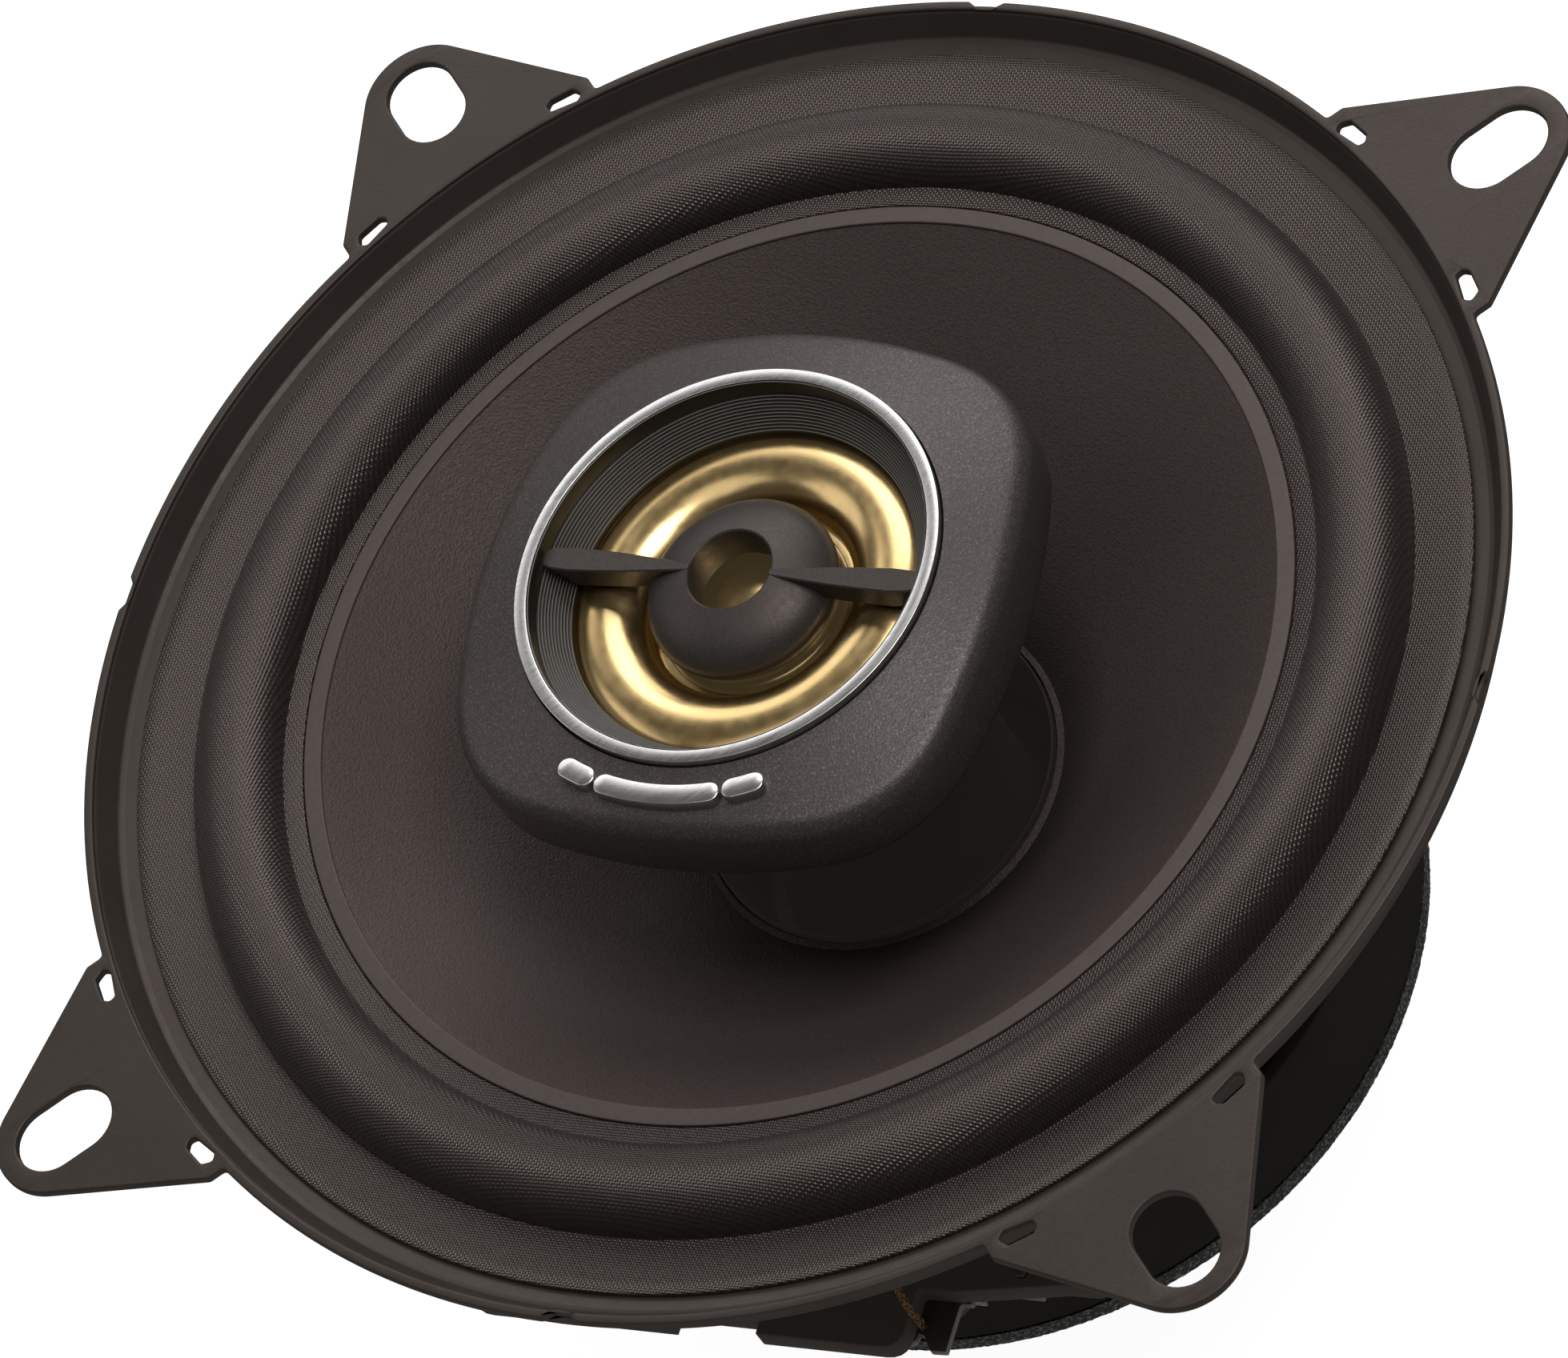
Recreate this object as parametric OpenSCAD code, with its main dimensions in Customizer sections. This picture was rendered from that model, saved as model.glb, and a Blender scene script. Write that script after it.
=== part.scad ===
// Two-way coaxial car speaker, 10 cm class.
// Frame: origin on the axis in the plane of the mounting ears' rear faces, +Z out of the cone,
// the four mounting ears on +X, -X, +Y and -Y. Millimetres.

/* [Mounting flange] */
// Outer radius of the round flange
flange_r = 51.1; // [51:0.1:52]
// Thickness of the pressed sheet
sheet_t = 0.7; // [0.6:0.05:0.8]
// Radius of the spigot behind the flange, which enters the panel cut-out
spigot_r = 50.3; // [50.2:0.05:50.5]
// Length of the spigot
spigot_len = 1.7; // [1.5:0.1:1.7]
// Width of each of the four index notches in the rim
notch_w = 2.7; // [2:0.1:4]
// Depth of the index notches
notch_d = 0.55; // [0.3:0.05:0.6]

/* [Mounting ears] */
// Distance from the axis to the middle of an ear's slot
slot_r = 58; // [57.5:0.1:58.5]
// Width of the slot
slot_w = 5; // [4.6:0.1:5.2]
// Length of the slot, end to end
slot_len = 7.2; // [6.6:0.1:7.4]
// Half width of an ear at its shoulder
ear_half_w = 10.4; // [10:0.1:11]
// Distance from the axis to the shoulder
ear_shoulder = 51.3; // [51.2:0.05:51.6]
// Radius of an ear's round tip
ear_tip_r = 4.5; // [4.3:0.1:4.6]

/* [Basket] */
// Outer edge of the ledge that carries the surround
ledge_r = 49; // [48.6:0.1:49.1]
// Height of the ledge's outer edge
ledge_z = -1.5; // [-1.6:0.05:-1.4]
// Drop of the ledge from its outer to its inner edge
ledge_drop = 0.8; // [0.6:0.05:0.9]
// Height of the spider's ledge
spider_z = -20; // [-20.4:0.1:-19.8]
// Height of the basket floor's inner face
floor_z = -26.8; // [-27:0.1:-26.6]
// Width of each of the four legs
leg_w = 15; // [12:0.5:17]

/* [Cone and surround] */
// Outer radius of the cloth surround
surround_r = 48; // [47.6:0.1:48.2]
// Middle radius of the half roll
roll_r = 40.55; // [40.4:0.05:40.7]
// Radius of the half roll's section
roll_h = 3.1; // [2.9:0.05:3.2]
// Thickness of the cloth
cloth_t = 0.4; // [0.3:0.05:0.45]
// Outer radius of the cone's rim
cone_r = 35.6; // [35.4:0.1:35.8]
// Width of the cone's flat rim
cone_rim_w = 1.25; // [1:0.05:1.5]
// Height of the rim's front face
cone_rim_z = -1.4; // [-1.45:0.05:-1.35]
// Height of the cone's front face at its neck
cone_neck_z = -18.2; // [-18.4:0.1:-17.8]
// Thickness of the cone
cone_t = 0.45; // [0.35:0.05:0.55]

/* [Motor] */
// Outer radius of the voice coil's former
former_r = 12.75; // [12.7:0.05:12.8]
// Radius of the pole
pole_r = 12.2; // [12:0.05:12.25]
// Radius of the bore in the top plate
gap_r = 13.5; // [13.45:0.05:13.6]
// Radius of the ferrite ring
magnet_r = 30; // [29.6:0.1:30]
// Thickness of the ferrite ring
magnet_t = 7.8; // [7.6:0.1:8]
// Thickness of the top plate
plate_t = 4; // [3.8:0.1:4]
// Thickness of the back plate
back_t = 3; // [2.8:0.1:3]
// Outer radius of the rubber boot round the magnet
boot_r = 31.45; // [31.2:0.05:31.6]
// Height of the rough band at the boot's rear edge
band_h = 1.7; // [1.4:0.1:2.2]

/* [Tweeter] */
// Half width of the rounded square housing, across its flats
house_a = 19.4; // [19:0.1:20]
// Distance from the axis to the housing's corners
house_diag = 21.7; // [21.4:0.1:22]
// Radius of the housing's bowed sides
house_bow = 45; // [40:1:50]
// Outer radius of the bright bezel
bezel_r = 15.1; // [15:0.05:15.2]
// Width of the bezel
bezel_w = 0.85; // [0.7:0.05:1]
// Height of the bezel's front face
bezel_z = 10.5; // [10.4:0.05:10.6]
// Number of fine steps in the horn's wall
horn_steps = 13; // [6:1:16]
// Outer radius of the phase plug
plug_r = 6.75; // [6.55:0.05:6.8]
// Radius of the hole in the phase plug
plug_hole_r = 3; // [2.8:0.05:3.2]
// Radius of the tweeter's post
post_r = 9.2; // [8.5:0.1:9.6]

/* [Terminals] */
// Distance from the axis to the terminal board's outer edge
board_d = 43.75; // [43.2:0.05:44]
// Half width of the board's main part
board_half_w = 16.3; // [15.8:0.1:16.8]
// Height of the board's front face
board_z = -14.6; // [-14.8:0.05:-14.4]
// Thickness of the board
board_t = 1.7; // [1.5:0.05:1.8]
// Thickness of the terminals
tab_t = 0.6; // [0.5:0.05:0.8]
// Width of the positive blade
blade_wide = 4.8; // [4:0.1:5]
// Width of the negative blade
blade_narrow = 2.8; // [2.4:0.1:3.2]

/* [Hidden] */
$fn = 96;
eps = 0.05;
fine_fn = 32;
ear_angles = [0, 90, 180, 270];
leg_angles = [45, 135, 225, 315];
// Everything about the terminals is drawn facing +X and turned to this leg.
terminal_turn = 225;
// Everything in the tweeter is drawn with its bridge along X and turned by this.
tweeter_turn = -45;

// Heights down the basket and the motor, from the surround's ledge to the back of the boot.
ledge_inner_z = ledge_z - ledge_drop;
plate_top = floor_z - sheet_t;
magnet_top = plate_top - plate_t;
back_top = magnet_top - magnet_t;
back_z = back_top - back_t;
boot_skin = 0.5;
boot_z = back_z - boot_skin;
plate_r = 27;
back_r = 28.5;
magnet_bore_r = 17;
pole_bore_r = 3;
nut_pocket_r = 6.5;
rivet_r = 1.5;
rivet_head_r = 2.8;
rivet_circle = 22;
wire_channel_w = 4;
wire_channel_d = 1.25;

// The cone's flare and the spider's waves.
cone_face_r = cone_r - cone_rim_w;
cone_neck_r = former_r + 0.6;
cone_curve = 0.07;
spider_r = 32;
spider_t = 0.3;
spider_waves = 5;
wave_h = 0.85;

// Heights and radii in the tweeter.
house_rear = 3.6;
house_chamfer = 0.6;
cup_r = 14.2;
cup_z = -2;
face_at_bezel = 9.95;
seat_z = 6.45;
lip_top = 6.7;
bezel_rear = 9;
horn_inner_r = 12.3;
arm_top = 9.75;
arm_rear = 7.6;
t_gap_r = 6.75;
t_pole_r = 5.85;
t_yoke_r = 9;
t_yoke_z = -0.5;
t_magnet_z = 0.7;
t_magnet_top = 2.6;
t_plate_top = 3.8;
t_coil_r = 6.1;
badge_r = 17.2;
badge_half_w = 0.75;
badge_z = 8.8;
badge_h = 1.15;

// Terminals, drawn facing +X.
board_rear = board_z - board_t;
board_inner_r = 38.75;
wing_w = 29;
wing_d = 39.3;
wing_end_d = 38;
notch_from = -0.7;
notch_to = 5.65;
board_rivet_x = 40.6;
board_rivet_y = 3;
lug_rivet_x = 35.9;
lug_rivet_y = 17.9;
stake_x = 37.4;
stake_y = 23.3;
stake_r = 0.4;
blade_x = 39.05;
blade_y = 19.85;
blade_len = 5.7;
tongue_t = 0.8;
cap_x = 35.3;
cap_z = -24;
cap_r = 3.4;
cap_half = 6;

// Wires, drawn facing +X. The positive tinsel lead is the mirror image of the negative one.
wire_r = 0.45;
lead_r = 0.3;
cap_lead_r = 0.3;
pad_r = 1.3;
lead_start_r = 21;
lead_start_angle = 20;
lead_route = [[20.2, 7.4, -12.6], [21, 7.7, -13.7], [22.8, 8.3, -15.2], [26, 9.4, -16.6],
              [30, 11, -16.9], [33.2, 12.2, -15.8], [36, 13.4, -13.9], [38.2, 14.4, -13.1],
              [39.8, 15.4, -13.2], [41, 16.3, -14.2], [41.3, 16.7, -15.4], [41.3, 16.7, -16.25]];
cap_in_route = [[35.3, -6, -24], [35.3, -8, -24], [35.5, -11, -23.2], [35.8, -15, -20.2],
                [35.9, -17.3, -18.6], [35.9, -17.9, -17.45]];
cap_out_route = [[35.3, 6, -24], [35.3, 7.6, -24], [35, 8.6, -25], [34.3, 8.2, -27],
                 [33.4, 6.6, -28.6]];
positive_wire_route = [[0.7, 0.9, -0.6], [0.7, 0.9, -12], [0.7, 0.9, -26], [0.7, 0.9, -38.2],
                       [0.7, 0.9, -39.9], [1.2, 0.9, -41.2], [2.5, 0.9, -41.7], [6, 0.9, -41.7],
                       [18, 0.9, -41.7], [27, 0.9, -41.7], [29.4, 0.9, -41.3],
                       [30.6, 0.9, -40.1], [30.85, 0.9, -38], [30.85, 0.9, -33.5],
                       [31.1, 1.2, -31], [31.7, 2.6, -29.7], [32.6, 4.8, -28.9], [33.4, 6.6, -28.6]];
negative_wire_route = [[0.7, -0.9, -0.6], [0.7, -0.9, -12], [0.7, -0.9, -26], [0.7, -0.9, -38.2],
                       [0.7, -0.9, -39.9], [1.2, -0.9, -41.2], [2.5, -0.9, -41.7],
                       [6, -0.9, -41.7], [18, -0.9, -41.7], [27, -0.9, -41.7],
                       [29.4, -0.9, -41.3], [30.6, -0.9, -40.1], [30.85, -0.9, -38],
                       [30.85, -0.9, -33.5], [31.4, -0.7, -31.4], [33, 1.2, -30.4],
                       [35, 5.2, -30.2], [36.3, 10.2, -28], [36.4, 15, -23.6],
                       [36.1, 17.3, -19.6], [35.9, 17.9, -17.45]];

// ---------- helpers ----------

module ring(r_out, r_in, z0, z1) {
    difference() {
        translate([0, 0, z0]) cylinder(r = r_out, h = z1 - z0);
        translate([0, 0, z0 - eps]) cylinder(r = r_in, h = z1 - z0 + 2 * eps);
    }
}

module disc(r, z0, z1) {
    translate([0, 0, z0]) cylinder(r = r, h = z1 - z0);
}

module around(angles) {
    for (a = angles) rotate([0, 0, a]) children();
}

function unit(v) = v / norm(v);

// Catmull-Rom point between p[i] and p[i + 1].
function spline_at(p, i, u) =
    let (a = p[max(i - 1, 0)], b = p[i], c = p[i + 1], d = p[min(i + 2, len(p) - 1)])
    0.5 * (2 * b + (c - a) * u + (2 * a - 5 * b + 4 * c - d) * u * u
           + (3 * b - 3 * c + d - a) * u * u * u);

function spline(p, n) = concat(
    [for (i = [0 : len(p) - 2], k = [0 : n - 1]) spline_at(p, i, k / n)],
    [p[len(p) - 1]]);

function tangents(p) =
    let (last = len(p) - 1)
    [for (i = [0 : last]) unit(p[min(i + 1, last)] - p[max(i - 1, 0)])];

// Carries one side vector along the path, so that the tube doesn't twist.
function carried(t, i, u, done) = i == len(t) ? done
    : let (w = unit(u - (u * t[i]) * t[i])) carried(t, i + 1, w, concat(done, [w]));

module tube_along(route, r, n) {
    sides = 8;
    path = spline(route, n);
    t = tangents(path);
    start = abs(t[0][2]) < 0.9 ? [0, 0, 1] : [1, 0, 0];
    side = carried(t, 0, start, []);
    rings = len(path);
    points = [for (i = [0 : rings - 1], k = [0 : sides - 1])
        let (a = 360 * k / sides)
        path[i] + r * (cos(a) * side[i] + sin(a) * cross(t[i], side[i]))];
    walls = [for (i = [0 : rings - 2], k = [0 : sides - 1])
        let (j = (k + 1) % sides)
        [i * sides + k, (i + 1) * sides + k, (i + 1) * sides + j, i * sides + j]];
    first = [for (k = [0 : sides - 1]) k];
    final = [for (k = [sides - 1 : -1 : 0]) (rings - 1) * sides + k];
    polyhedron(points = points, faces = concat([first], walls, [final]), convexity = 6);
}

function turned(p, a) = [p[0] * cos(a) - p[1] * sin(a), p[0] * sin(a) + p[1] * cos(a)];

function flip_side(route) = [for (p = route) [p[0], -p[1], p[2]]];

// ---------- basket and motor ----------

// The pressed wall of the basket, from the rim to the floor, front face then rear face.
module basket_section() {
    t = sheet_t;
    inner_z = ledge_inner_z;
    polygon([
        [flange_r, t], [50.45, t], [50.3, t - 0.15], [49.4, ledge_z + 0.25],
        [ledge_r, ledge_z], [43.6, inner_z], [42.8, inner_z - 0.4], [42.3, inner_z - 1.3],
        [39.6, -11.5], [38.4, -13.4], [33.2, spider_z + 0.6], [32.2, spider_z],
        [28.4, spider_z], [27.7, spider_z - 0.6], [26.9, floor_z + 0.7],
        [26.2, floor_z], [magnet_bore_r, floor_z],
        [magnet_bore_r, floor_z - t], [26.8, floor_z - t], [27.6, floor_z - 0.1],
        [28.4, spider_z - 1.2], [28.8, spider_z - t], [32.5, spider_z - t],
        [33.8, spider_z - 0.1], [39, -14], [40.3, -11.8], [43, inner_z - 1.5],
        [43.5, inner_z - 0.85], [44, inner_z - 0.7], [spigot_r - 0.5, ledge_z - 0.7],
        [spigot_r, -spigot_len], [spigot_r, 0], [flange_r, 0]]);
}

// The slot's outline, centred on its nominal place along +X.
module slot_outline() {
    run = (slot_len - slot_w) / 2;
    for (x = [-run, run]) translate([slot_r + x, 0]) circle(d = slot_w);
    translate([slot_r - run, -slot_w / 2]) square([2 * run, slot_w]);
}

// One of the two slanted windows beside an ear's root.
module ear_window_outline() {
    polygon([[50.06, 8.91], [50.42, 9.4], [51.19, 9.05], [51.48, 7.3], [51.12, 6.86], [50.63, 6.93]]);
}

// One ear along +X. Its straight sides run from the shoulder to where they touch the tip circle.
module ear_outline() {
    tip = [slot_r + 0.6, 0];
    shoulder = [ear_shoulder, ear_half_w];
    reach = norm(tip - shoulder);
    lean = atan2(tip[1] - shoulder[1], tip[0] - shoulder[0]) + asin(ear_tip_r / reach);
    touch = shoulder + sqrt(reach * reach - ear_tip_r * ear_tip_r) * [cos(lean), sin(lean)];
    half = [[49.9, 0], [49.9, ear_half_w], shoulder, touch, [touch[0], 0]];
    difference() {
        union() {
            polygon(half);
            mirror([0, 1]) polygon(half);
            translate(tip) circle(r = ear_tip_r);
        }
        slot_outline();
        ear_window_outline();
        mirror([0, 1]) ear_window_outline();
    }
}

module rim_notch() {
    deep = flange_r - notch_d;
    clear = flange_r + 0.4;
    translate([0, 0, -1]) linear_extrude(3)
        polygon([[deep, -notch_w / 5], [clear, -notch_w / 2],
                 [clear, notch_w / 2], [deep, notch_w / 5]]);
}

// The four openings between the legs, one behind each ear.
module basket_windows() {
    difference() {
        ring(49, 30, spider_z + 1.4, ledge_inner_z - 2.2);
        for (a = [45, -45]) rotate([0, 0, a])
            translate([-60, -leg_w / 2, spider_z]) cube([120, leg_w, 30]);
    }
}

// The tongue bent out of one leg, on which the terminal board sits.
module board_tongue() {
    difference() {
        translate([35, -5, board_rear - tongue_t]) cube([7, 10, tongue_t]);
        for (y = [-board_rivet_y, board_rivet_y]) translate([board_rivet_x, y, board_rear - 1])
            cylinder(r = 1.05, h = 2);
    }
}

module basket() {
    color([0.16, 0.15, 0.14]) difference() {
        union() {
            rotate_extrude() basket_section();
            around(ear_angles) linear_extrude(sheet_t) ear_outline();
            rotate([0, 0, terminal_turn]) board_tongue();
        }
        around(leg_angles) rim_notch();
        around(ear_angles) window_through_flange();
        basket_windows();
        around(leg_angles) translate([rivet_circle, 0, floor_z - 1])
            cylinder(r = rivet_r + eps, h = 2);
    }
}

// The ears' windows reach a little way into the flange's rim.
module window_through_flange() {
    translate([0, 0, -0.2]) linear_extrude(sheet_t + 0.4) {
        ear_window_outline();
        mirror([0, 1]) ear_window_outline();
    }
}

module top_plate() {
    color("silver") difference() {
        disc(plate_r, magnet_top, plate_top);
        translate([0, 0, magnet_top - 1]) cylinder(r = gap_r, h = plate_t + 2);
        around(leg_angles) translate([rivet_circle, 0, plate_top - 2])
            cylinder(r = rivet_r + eps, h = 3);
    }
}

module basket_rivets() {
    color("silver") around(leg_angles) translate([rivet_circle, 0, 0]) {
        disc(rivet_r, plate_top - 1.9, floor_z + 0.4);
        disc(rivet_head_r, floor_z, floor_z + 0.9);
    }
}

module magnet() {
    color([0.12, 0.12, 0.12]) ring(magnet_r, magnet_bore_r, back_top, magnet_top);
}

// Back plate and pole in one forging, with the bore for the tweeter's post and the nut's pocket.
module yoke() {
    color("silver") difference() {
        rotate_extrude() polygon([
            [pole_bore_r, back_z], [back_r - 0.5, back_z], [back_r, back_z + 0.5],
            [back_r, back_top], [pole_r, back_top], [pole_r, plate_top - 0.5],
            [pole_r - 0.5, plate_top], [pole_bore_r, plate_top]]);
        translate([0, 0, back_z - 1]) cylinder(r = nut_pocket_r, h = 1 + back_t);
        rotate([0, 0, terminal_turn]) translate([0, -wire_channel_w / 2, back_z - 1])
            cube([back_r + 1, wire_channel_w, 1 + wire_channel_d]);
    }
}

// Rubber boot over the ring and the back plate, with one channel for the tweeter's wires.
module magnet_boot() {
    gap = 0.05;
    groove = boot_z + band_h;
    color([0.1, 0.1, 0.1]) difference() {
        rotate_extrude() polygon([
            [20, boot_z], [boot_r - 0.4, boot_z], [boot_r, boot_z + 0.4],
            [boot_r, groove], [boot_r - 0.3, groove + 0.15], [boot_r - 0.3, groove + 0.45],
            [boot_r, groove + 0.6], [boot_r, magnet_top], [boot_r - 0.6, magnet_top + 0.6],
            [plate_r + 0.3, magnet_top + 0.6], [plate_r + 0.3, magnet_top],
            [magnet_r + gap, magnet_top], [magnet_r + gap, back_top],
            [back_r + gap, back_top], [back_r + gap, back_z], [20, back_z]]);
        rotate([0, 0, terminal_turn]) {
            translate([boot_r - wire_channel_d, -wire_channel_w / 2, boot_z - 1])
                cube([5, wire_channel_w, 20]);
            translate([15, -wire_channel_w / 2, boot_z - 1])
                cube([20, wire_channel_w, 2 + back_z - boot_z + wire_channel_d]);
        }
    }
}

// ---------- cone assembly ----------

// Half roll of cloth between two flat lips; front face first, then the rear face.
module surround() {
    inner_z = ledge_inner_z;
    lip_z = inner_z + cloth_t;
    seat = cone_rim_z - 0.4;
    outer_z = ledge_z - 0.13;
    steps = 24;
    front = [for (k = [0 : steps]) let (a = 180 * k / steps)
        [roll_r + roll_h * cos(a), lip_z + roll_h * sin(a)]];
    thin = roll_h - cloth_t;
    rear = [for (k = [steps : -1 : 0]) let (a = 180 * k / steps)
        [roll_r + thin * cos(a), inner_z + (thin + 0.02) * sin(a)]];
    color([0.14, 0.13, 0.12]) rotate_extrude() polygon(concat(
        [[surround_r, outer_z], [surround_r, outer_z + cloth_t]], front,
        [[37.3, seat], [cone_r - 0.6, seat], [cone_r - 0.6, seat - cloth_t], [37.6, seat - cloth_t]],
        rear));
}

// Flat spider with waves that die out towards both lips.
module spider() {
    inner = former_r + 0.02;
    first = 14.6;
    final = 27.4;
    steps = 60;
    t = spider_t;
    z0 = spider_z + 0.02;
    crest = [for (k = [0 : steps]) let (u = k / steps)
        [first + (final - first) * u, z0 + wave_h * sin(360 * spider_waves * u)]];
    color([0.55, 0.4, 0.2]) rotate_extrude() polygon(concat(
        [[inner, z0 + t], [first - 0.5, z0 + t]],
        [for (p = crest) p + [0, t]], [[spider_r, z0 + t], [spider_r, z0]],
        [for (k = [steps : -1 : 0]) crest[k]], [[first - 0.5, z0], [inner, z0]]));
}

// Height of the cone's front face at radius r.
function cone_front(r) =
    let (u = (cone_face_r - r) / (cone_face_r - cone_neck_r), top = cone_rim_z - 0.2)
    top + (cone_neck_z - top) * ((1 - cone_curve) * u + cone_curve * u * u);

module cone() {
    outer = cone_face_r - 0.1;
    steps = 12;
    slant = 1.3 * cone_t;
    collar = former_r + 0.02;
    collar_z = spider_z + 0.45;
    radii = [for (k = [0 : steps]) outer - (outer - cone_neck_r) * k / steps];
    color([0.13, 0.12, 0.11]) rotate_extrude() polygon(concat(
        [[cone_r, cone_rim_z], [cone_face_r, cone_rim_z]], [for (r = radii) [r, cone_front(r)]],
        [[collar, cone_neck_z + 0.1], [collar, collar_z], [collar + 0.5, collar_z],
         [collar + 0.5, cone_neck_z - 0.8]],
        [for (k = [steps - 1 : -1 : 0]) [radii[k], cone_front(radii[k]) - slant]],
        [[cone_face_r + 0.3, cone_rim_z - 0.4], [cone_r, cone_rim_z - 0.4]]));
}

module voice_coil_former() {
    color([0.15, 0.13, 0.12]) ring(former_r, former_r - 0.15, -34, cone_neck_z + 0.6);
}

module voice_coil() {
    color([0.7, 0.35, 0.15]) ring(former_r + 0.35, former_r, -33.8, -25);
}

// Two solder pads glued to the cone's rear face, square to it, where the tinsel leads begin.
module lead_pads() {
    h = 0.5;
    tilt = atan((cone_front(lead_start_r + h) - cone_front(lead_start_r - h)) / (2 * h));
    rear = -1.3 * cone_t * cos(tilt) - 0.02;
    color("gold") for (s = [-1, 1]) rotate([0, 0, terminal_turn + s * lead_start_angle])
        translate([lead_start_r, 0, cone_front(lead_start_r)]) rotate([0, -tilt, 0])
            disc(pad_r, rear - 0.3, rear);
}

// ---------- tweeter ----------

// The rounded square's outline: four bowed sides and four corner arcs that touch them.
function house_points(shrink = 0) =
    let (a0 = house_bow - house_a,
         k = house_bow - house_diag,
         c = (a0 * a0 - k * k) / (2 * (sqrt(2) * k - a0)),
         corner = house_diag - sqrt(2) * c - shrink,
         lean = atan2(c, a0 + c),
         bow = house_bow - shrink,
         quarter = concat(
             [for (k = [-6 : 6]) let (a = lean * k / 6) [bow * cos(a) - a0, bow * sin(a)]],
             [for (k = [1 : 9]) let (a = lean + (90 - 2 * lean) * k / 10)
                 [c + corner * cos(a), c + corner * sin(a)]]))
    [for (turn = [0, 90, 180, 270], p = quarter) turned(p, turn)];

// Crowned dome that trims the housing's front, and the round cup behind it.
module house_crown() {
    rotate_extrude() polygon([
        [0, cup_z - 1], [30, cup_z - 1], [30, 4], [23, 7.1], [21.7, 7.75], [20.5, 8.17],
        [19.4, 8.52], [18, 8.98], [16.6, 9.46], [bezel_r + 0.1, face_at_bezel], [0, face_at_bezel]]);
}

module tweeter_housing() {
    color([0.2, 0.19, 0.18]) rotate([0, 0, tweeter_turn]) difference() {
        union() {
            intersection() {
                translate([0, 0, house_rear]) linear_extrude(10) polygon(house_points());
                house_crown();
            }
            translate([0, 0, house_rear - 0.6]) linear_extrude(0.7)
                polygon(house_points(house_chamfer));
            disc(cup_r, cup_z, house_rear);
        }
        disc(bezel_r + eps, seat_z, 12);
        disc(horn_inner_r - 0.2, t_plate_top + 0.2, seat_z + 1);
        disc(t_yoke_r + eps, t_yoke_z, t_plate_top + 1);
        disc(pole_bore_r + eps, cup_z - 1, 1);
        rotate([0, 0, -90]) badge_dashes(0.02);
    }
}

module tweeter_bezel() {
    color("silver") ring(bezel_r, bezel_r - bezel_w, bezel_rear, bezel_z);
}

// Stepped wall that narrows from the bezel to the gold surround.
module tweeter_horn() {
    seat = bezel_r - bezel_w - eps;
    wide = seat - 0.1;
    rise = (bezel_rear - lip_top - 0.3) / horn_steps;
    run = (wide - horn_inner_r) / horn_steps;
    color([0.05, 0.05, 0.05]) rotate_extrude() polygon(concat(
        [[bezel_r, lip_top], [bezel_r, bezel_rear], [seat, bezel_rear],
         [seat, bezel_z - 0.5], [wide, bezel_z - 0.6]],
        [for (k = [0 : horn_steps - 1], e = [0, 1]) [wide - run * (k + e), bezel_rear - rise * k]],
        [[horn_inner_r, lip_top]]));
}

// The hollow plug and its two arms, moulded in one piece.
module phase_plug() {
    color([0.17, 0.16, 0.15]) rotate([0, 0, tweeter_turn]) {
        rotate_extrude() polygon([
            [plug_hole_r, 9.7], [3.25, 9.76], [4.2, 9.44], [5.2, 9], [6, 8.48], [6.5, 7.93],
            [plug_r, 7.13], [6.52, 6.3], [5.9, 5.5], [5.4, 5.6], [4.6, 6.3], [3.6, 6.75],
            [plug_hole_r, 6.8]]);
        difference() {
            intersection() {
                translate([0, 0, arm_rear]) linear_extrude(arm_top - arm_rear) arm_outline();
                rotate_extrude() polygon([[0, 7], [12.2, 7], [13.95, 9], [13.95, 10], [0, 10]]);
            }
            disc(5.4, arm_rear - 1, arm_top + 1);
        }
        intersection() {
            translate([0, 0, 8.5]) linear_extrude(arm_top - 8.5) arm_outline();
            ring(5.6, plug_hole_r, 8, 10);
        }
    }
}

module arm_outline() {
    for (turn = [0, 180]) rotate(turn)
        polygon([[plug_hole_r, -0.3], [8, -0.74], [12, -0.92], [14.5, -0.66],
                 [14.5, 0.66], [12, 0.92], [8, 0.74], [plug_hole_r, 0.3]]);
}

// A bar bent round the bezel, with round ends.
function bent_bar(mid_r, half_w, half_angle) =
    let (n = 12,
         tip = [mid_r * cos(half_angle), mid_r * sin(half_angle)],
         end = [for (k = [1 : n - 1]) let (a = half_angle + 180 * k / n)
             [tip[0] + half_w * cos(a), tip[1] + half_w * sin(a)]],
         outer = [for (k = [-n : n]) let (a = half_angle * k / n) (mid_r + half_w) * [cos(a), sin(a)]],
         inner = [for (k = [n : -1 : -n]) let (a = half_angle * k / n) (mid_r - half_w) * [cos(a), sin(a)]])
    concat(outer, end, inner, [for (k = [n - 2 : -1 : 0]) [end[k][0], -end[k][1]]]);

module badge_dashes(grow) {
    dashes = [[-21, 2.5], [0, 13], [21, 2.5]];
    for (dash = dashes) rotate([0, 0, dash[0]]) translate([0, 0, badge_z - grow])
        linear_extrude(badge_h + grow) polygon(bent_bar(badge_r, badge_half_w + grow, dash[1]));
}

// Plain raised bar with a short dash at each end.
module badge() {
    color("silver") rotate([0, 0, tweeter_turn - 90]) badge_dashes(0);
}

module tweeter_yoke() {
    color("silver") difference() {
        disc(t_yoke_r, t_yoke_z, t_plate_top);
        disc(t_gap_r, t_magnet_z, t_plate_top + 1);
        disc(2, t_yoke_z - 1, t_magnet_z + 1);
    }
}

module tweeter_magnet() {
    color([0.6, 0.6, 0.62]) disc(t_pole_r - 0.45, t_magnet_z, t_magnet_top);
}

module tweeter_pole_plate() {
    color("silver") disc(t_pole_r, t_magnet_top, t_plate_top);
}

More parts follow.
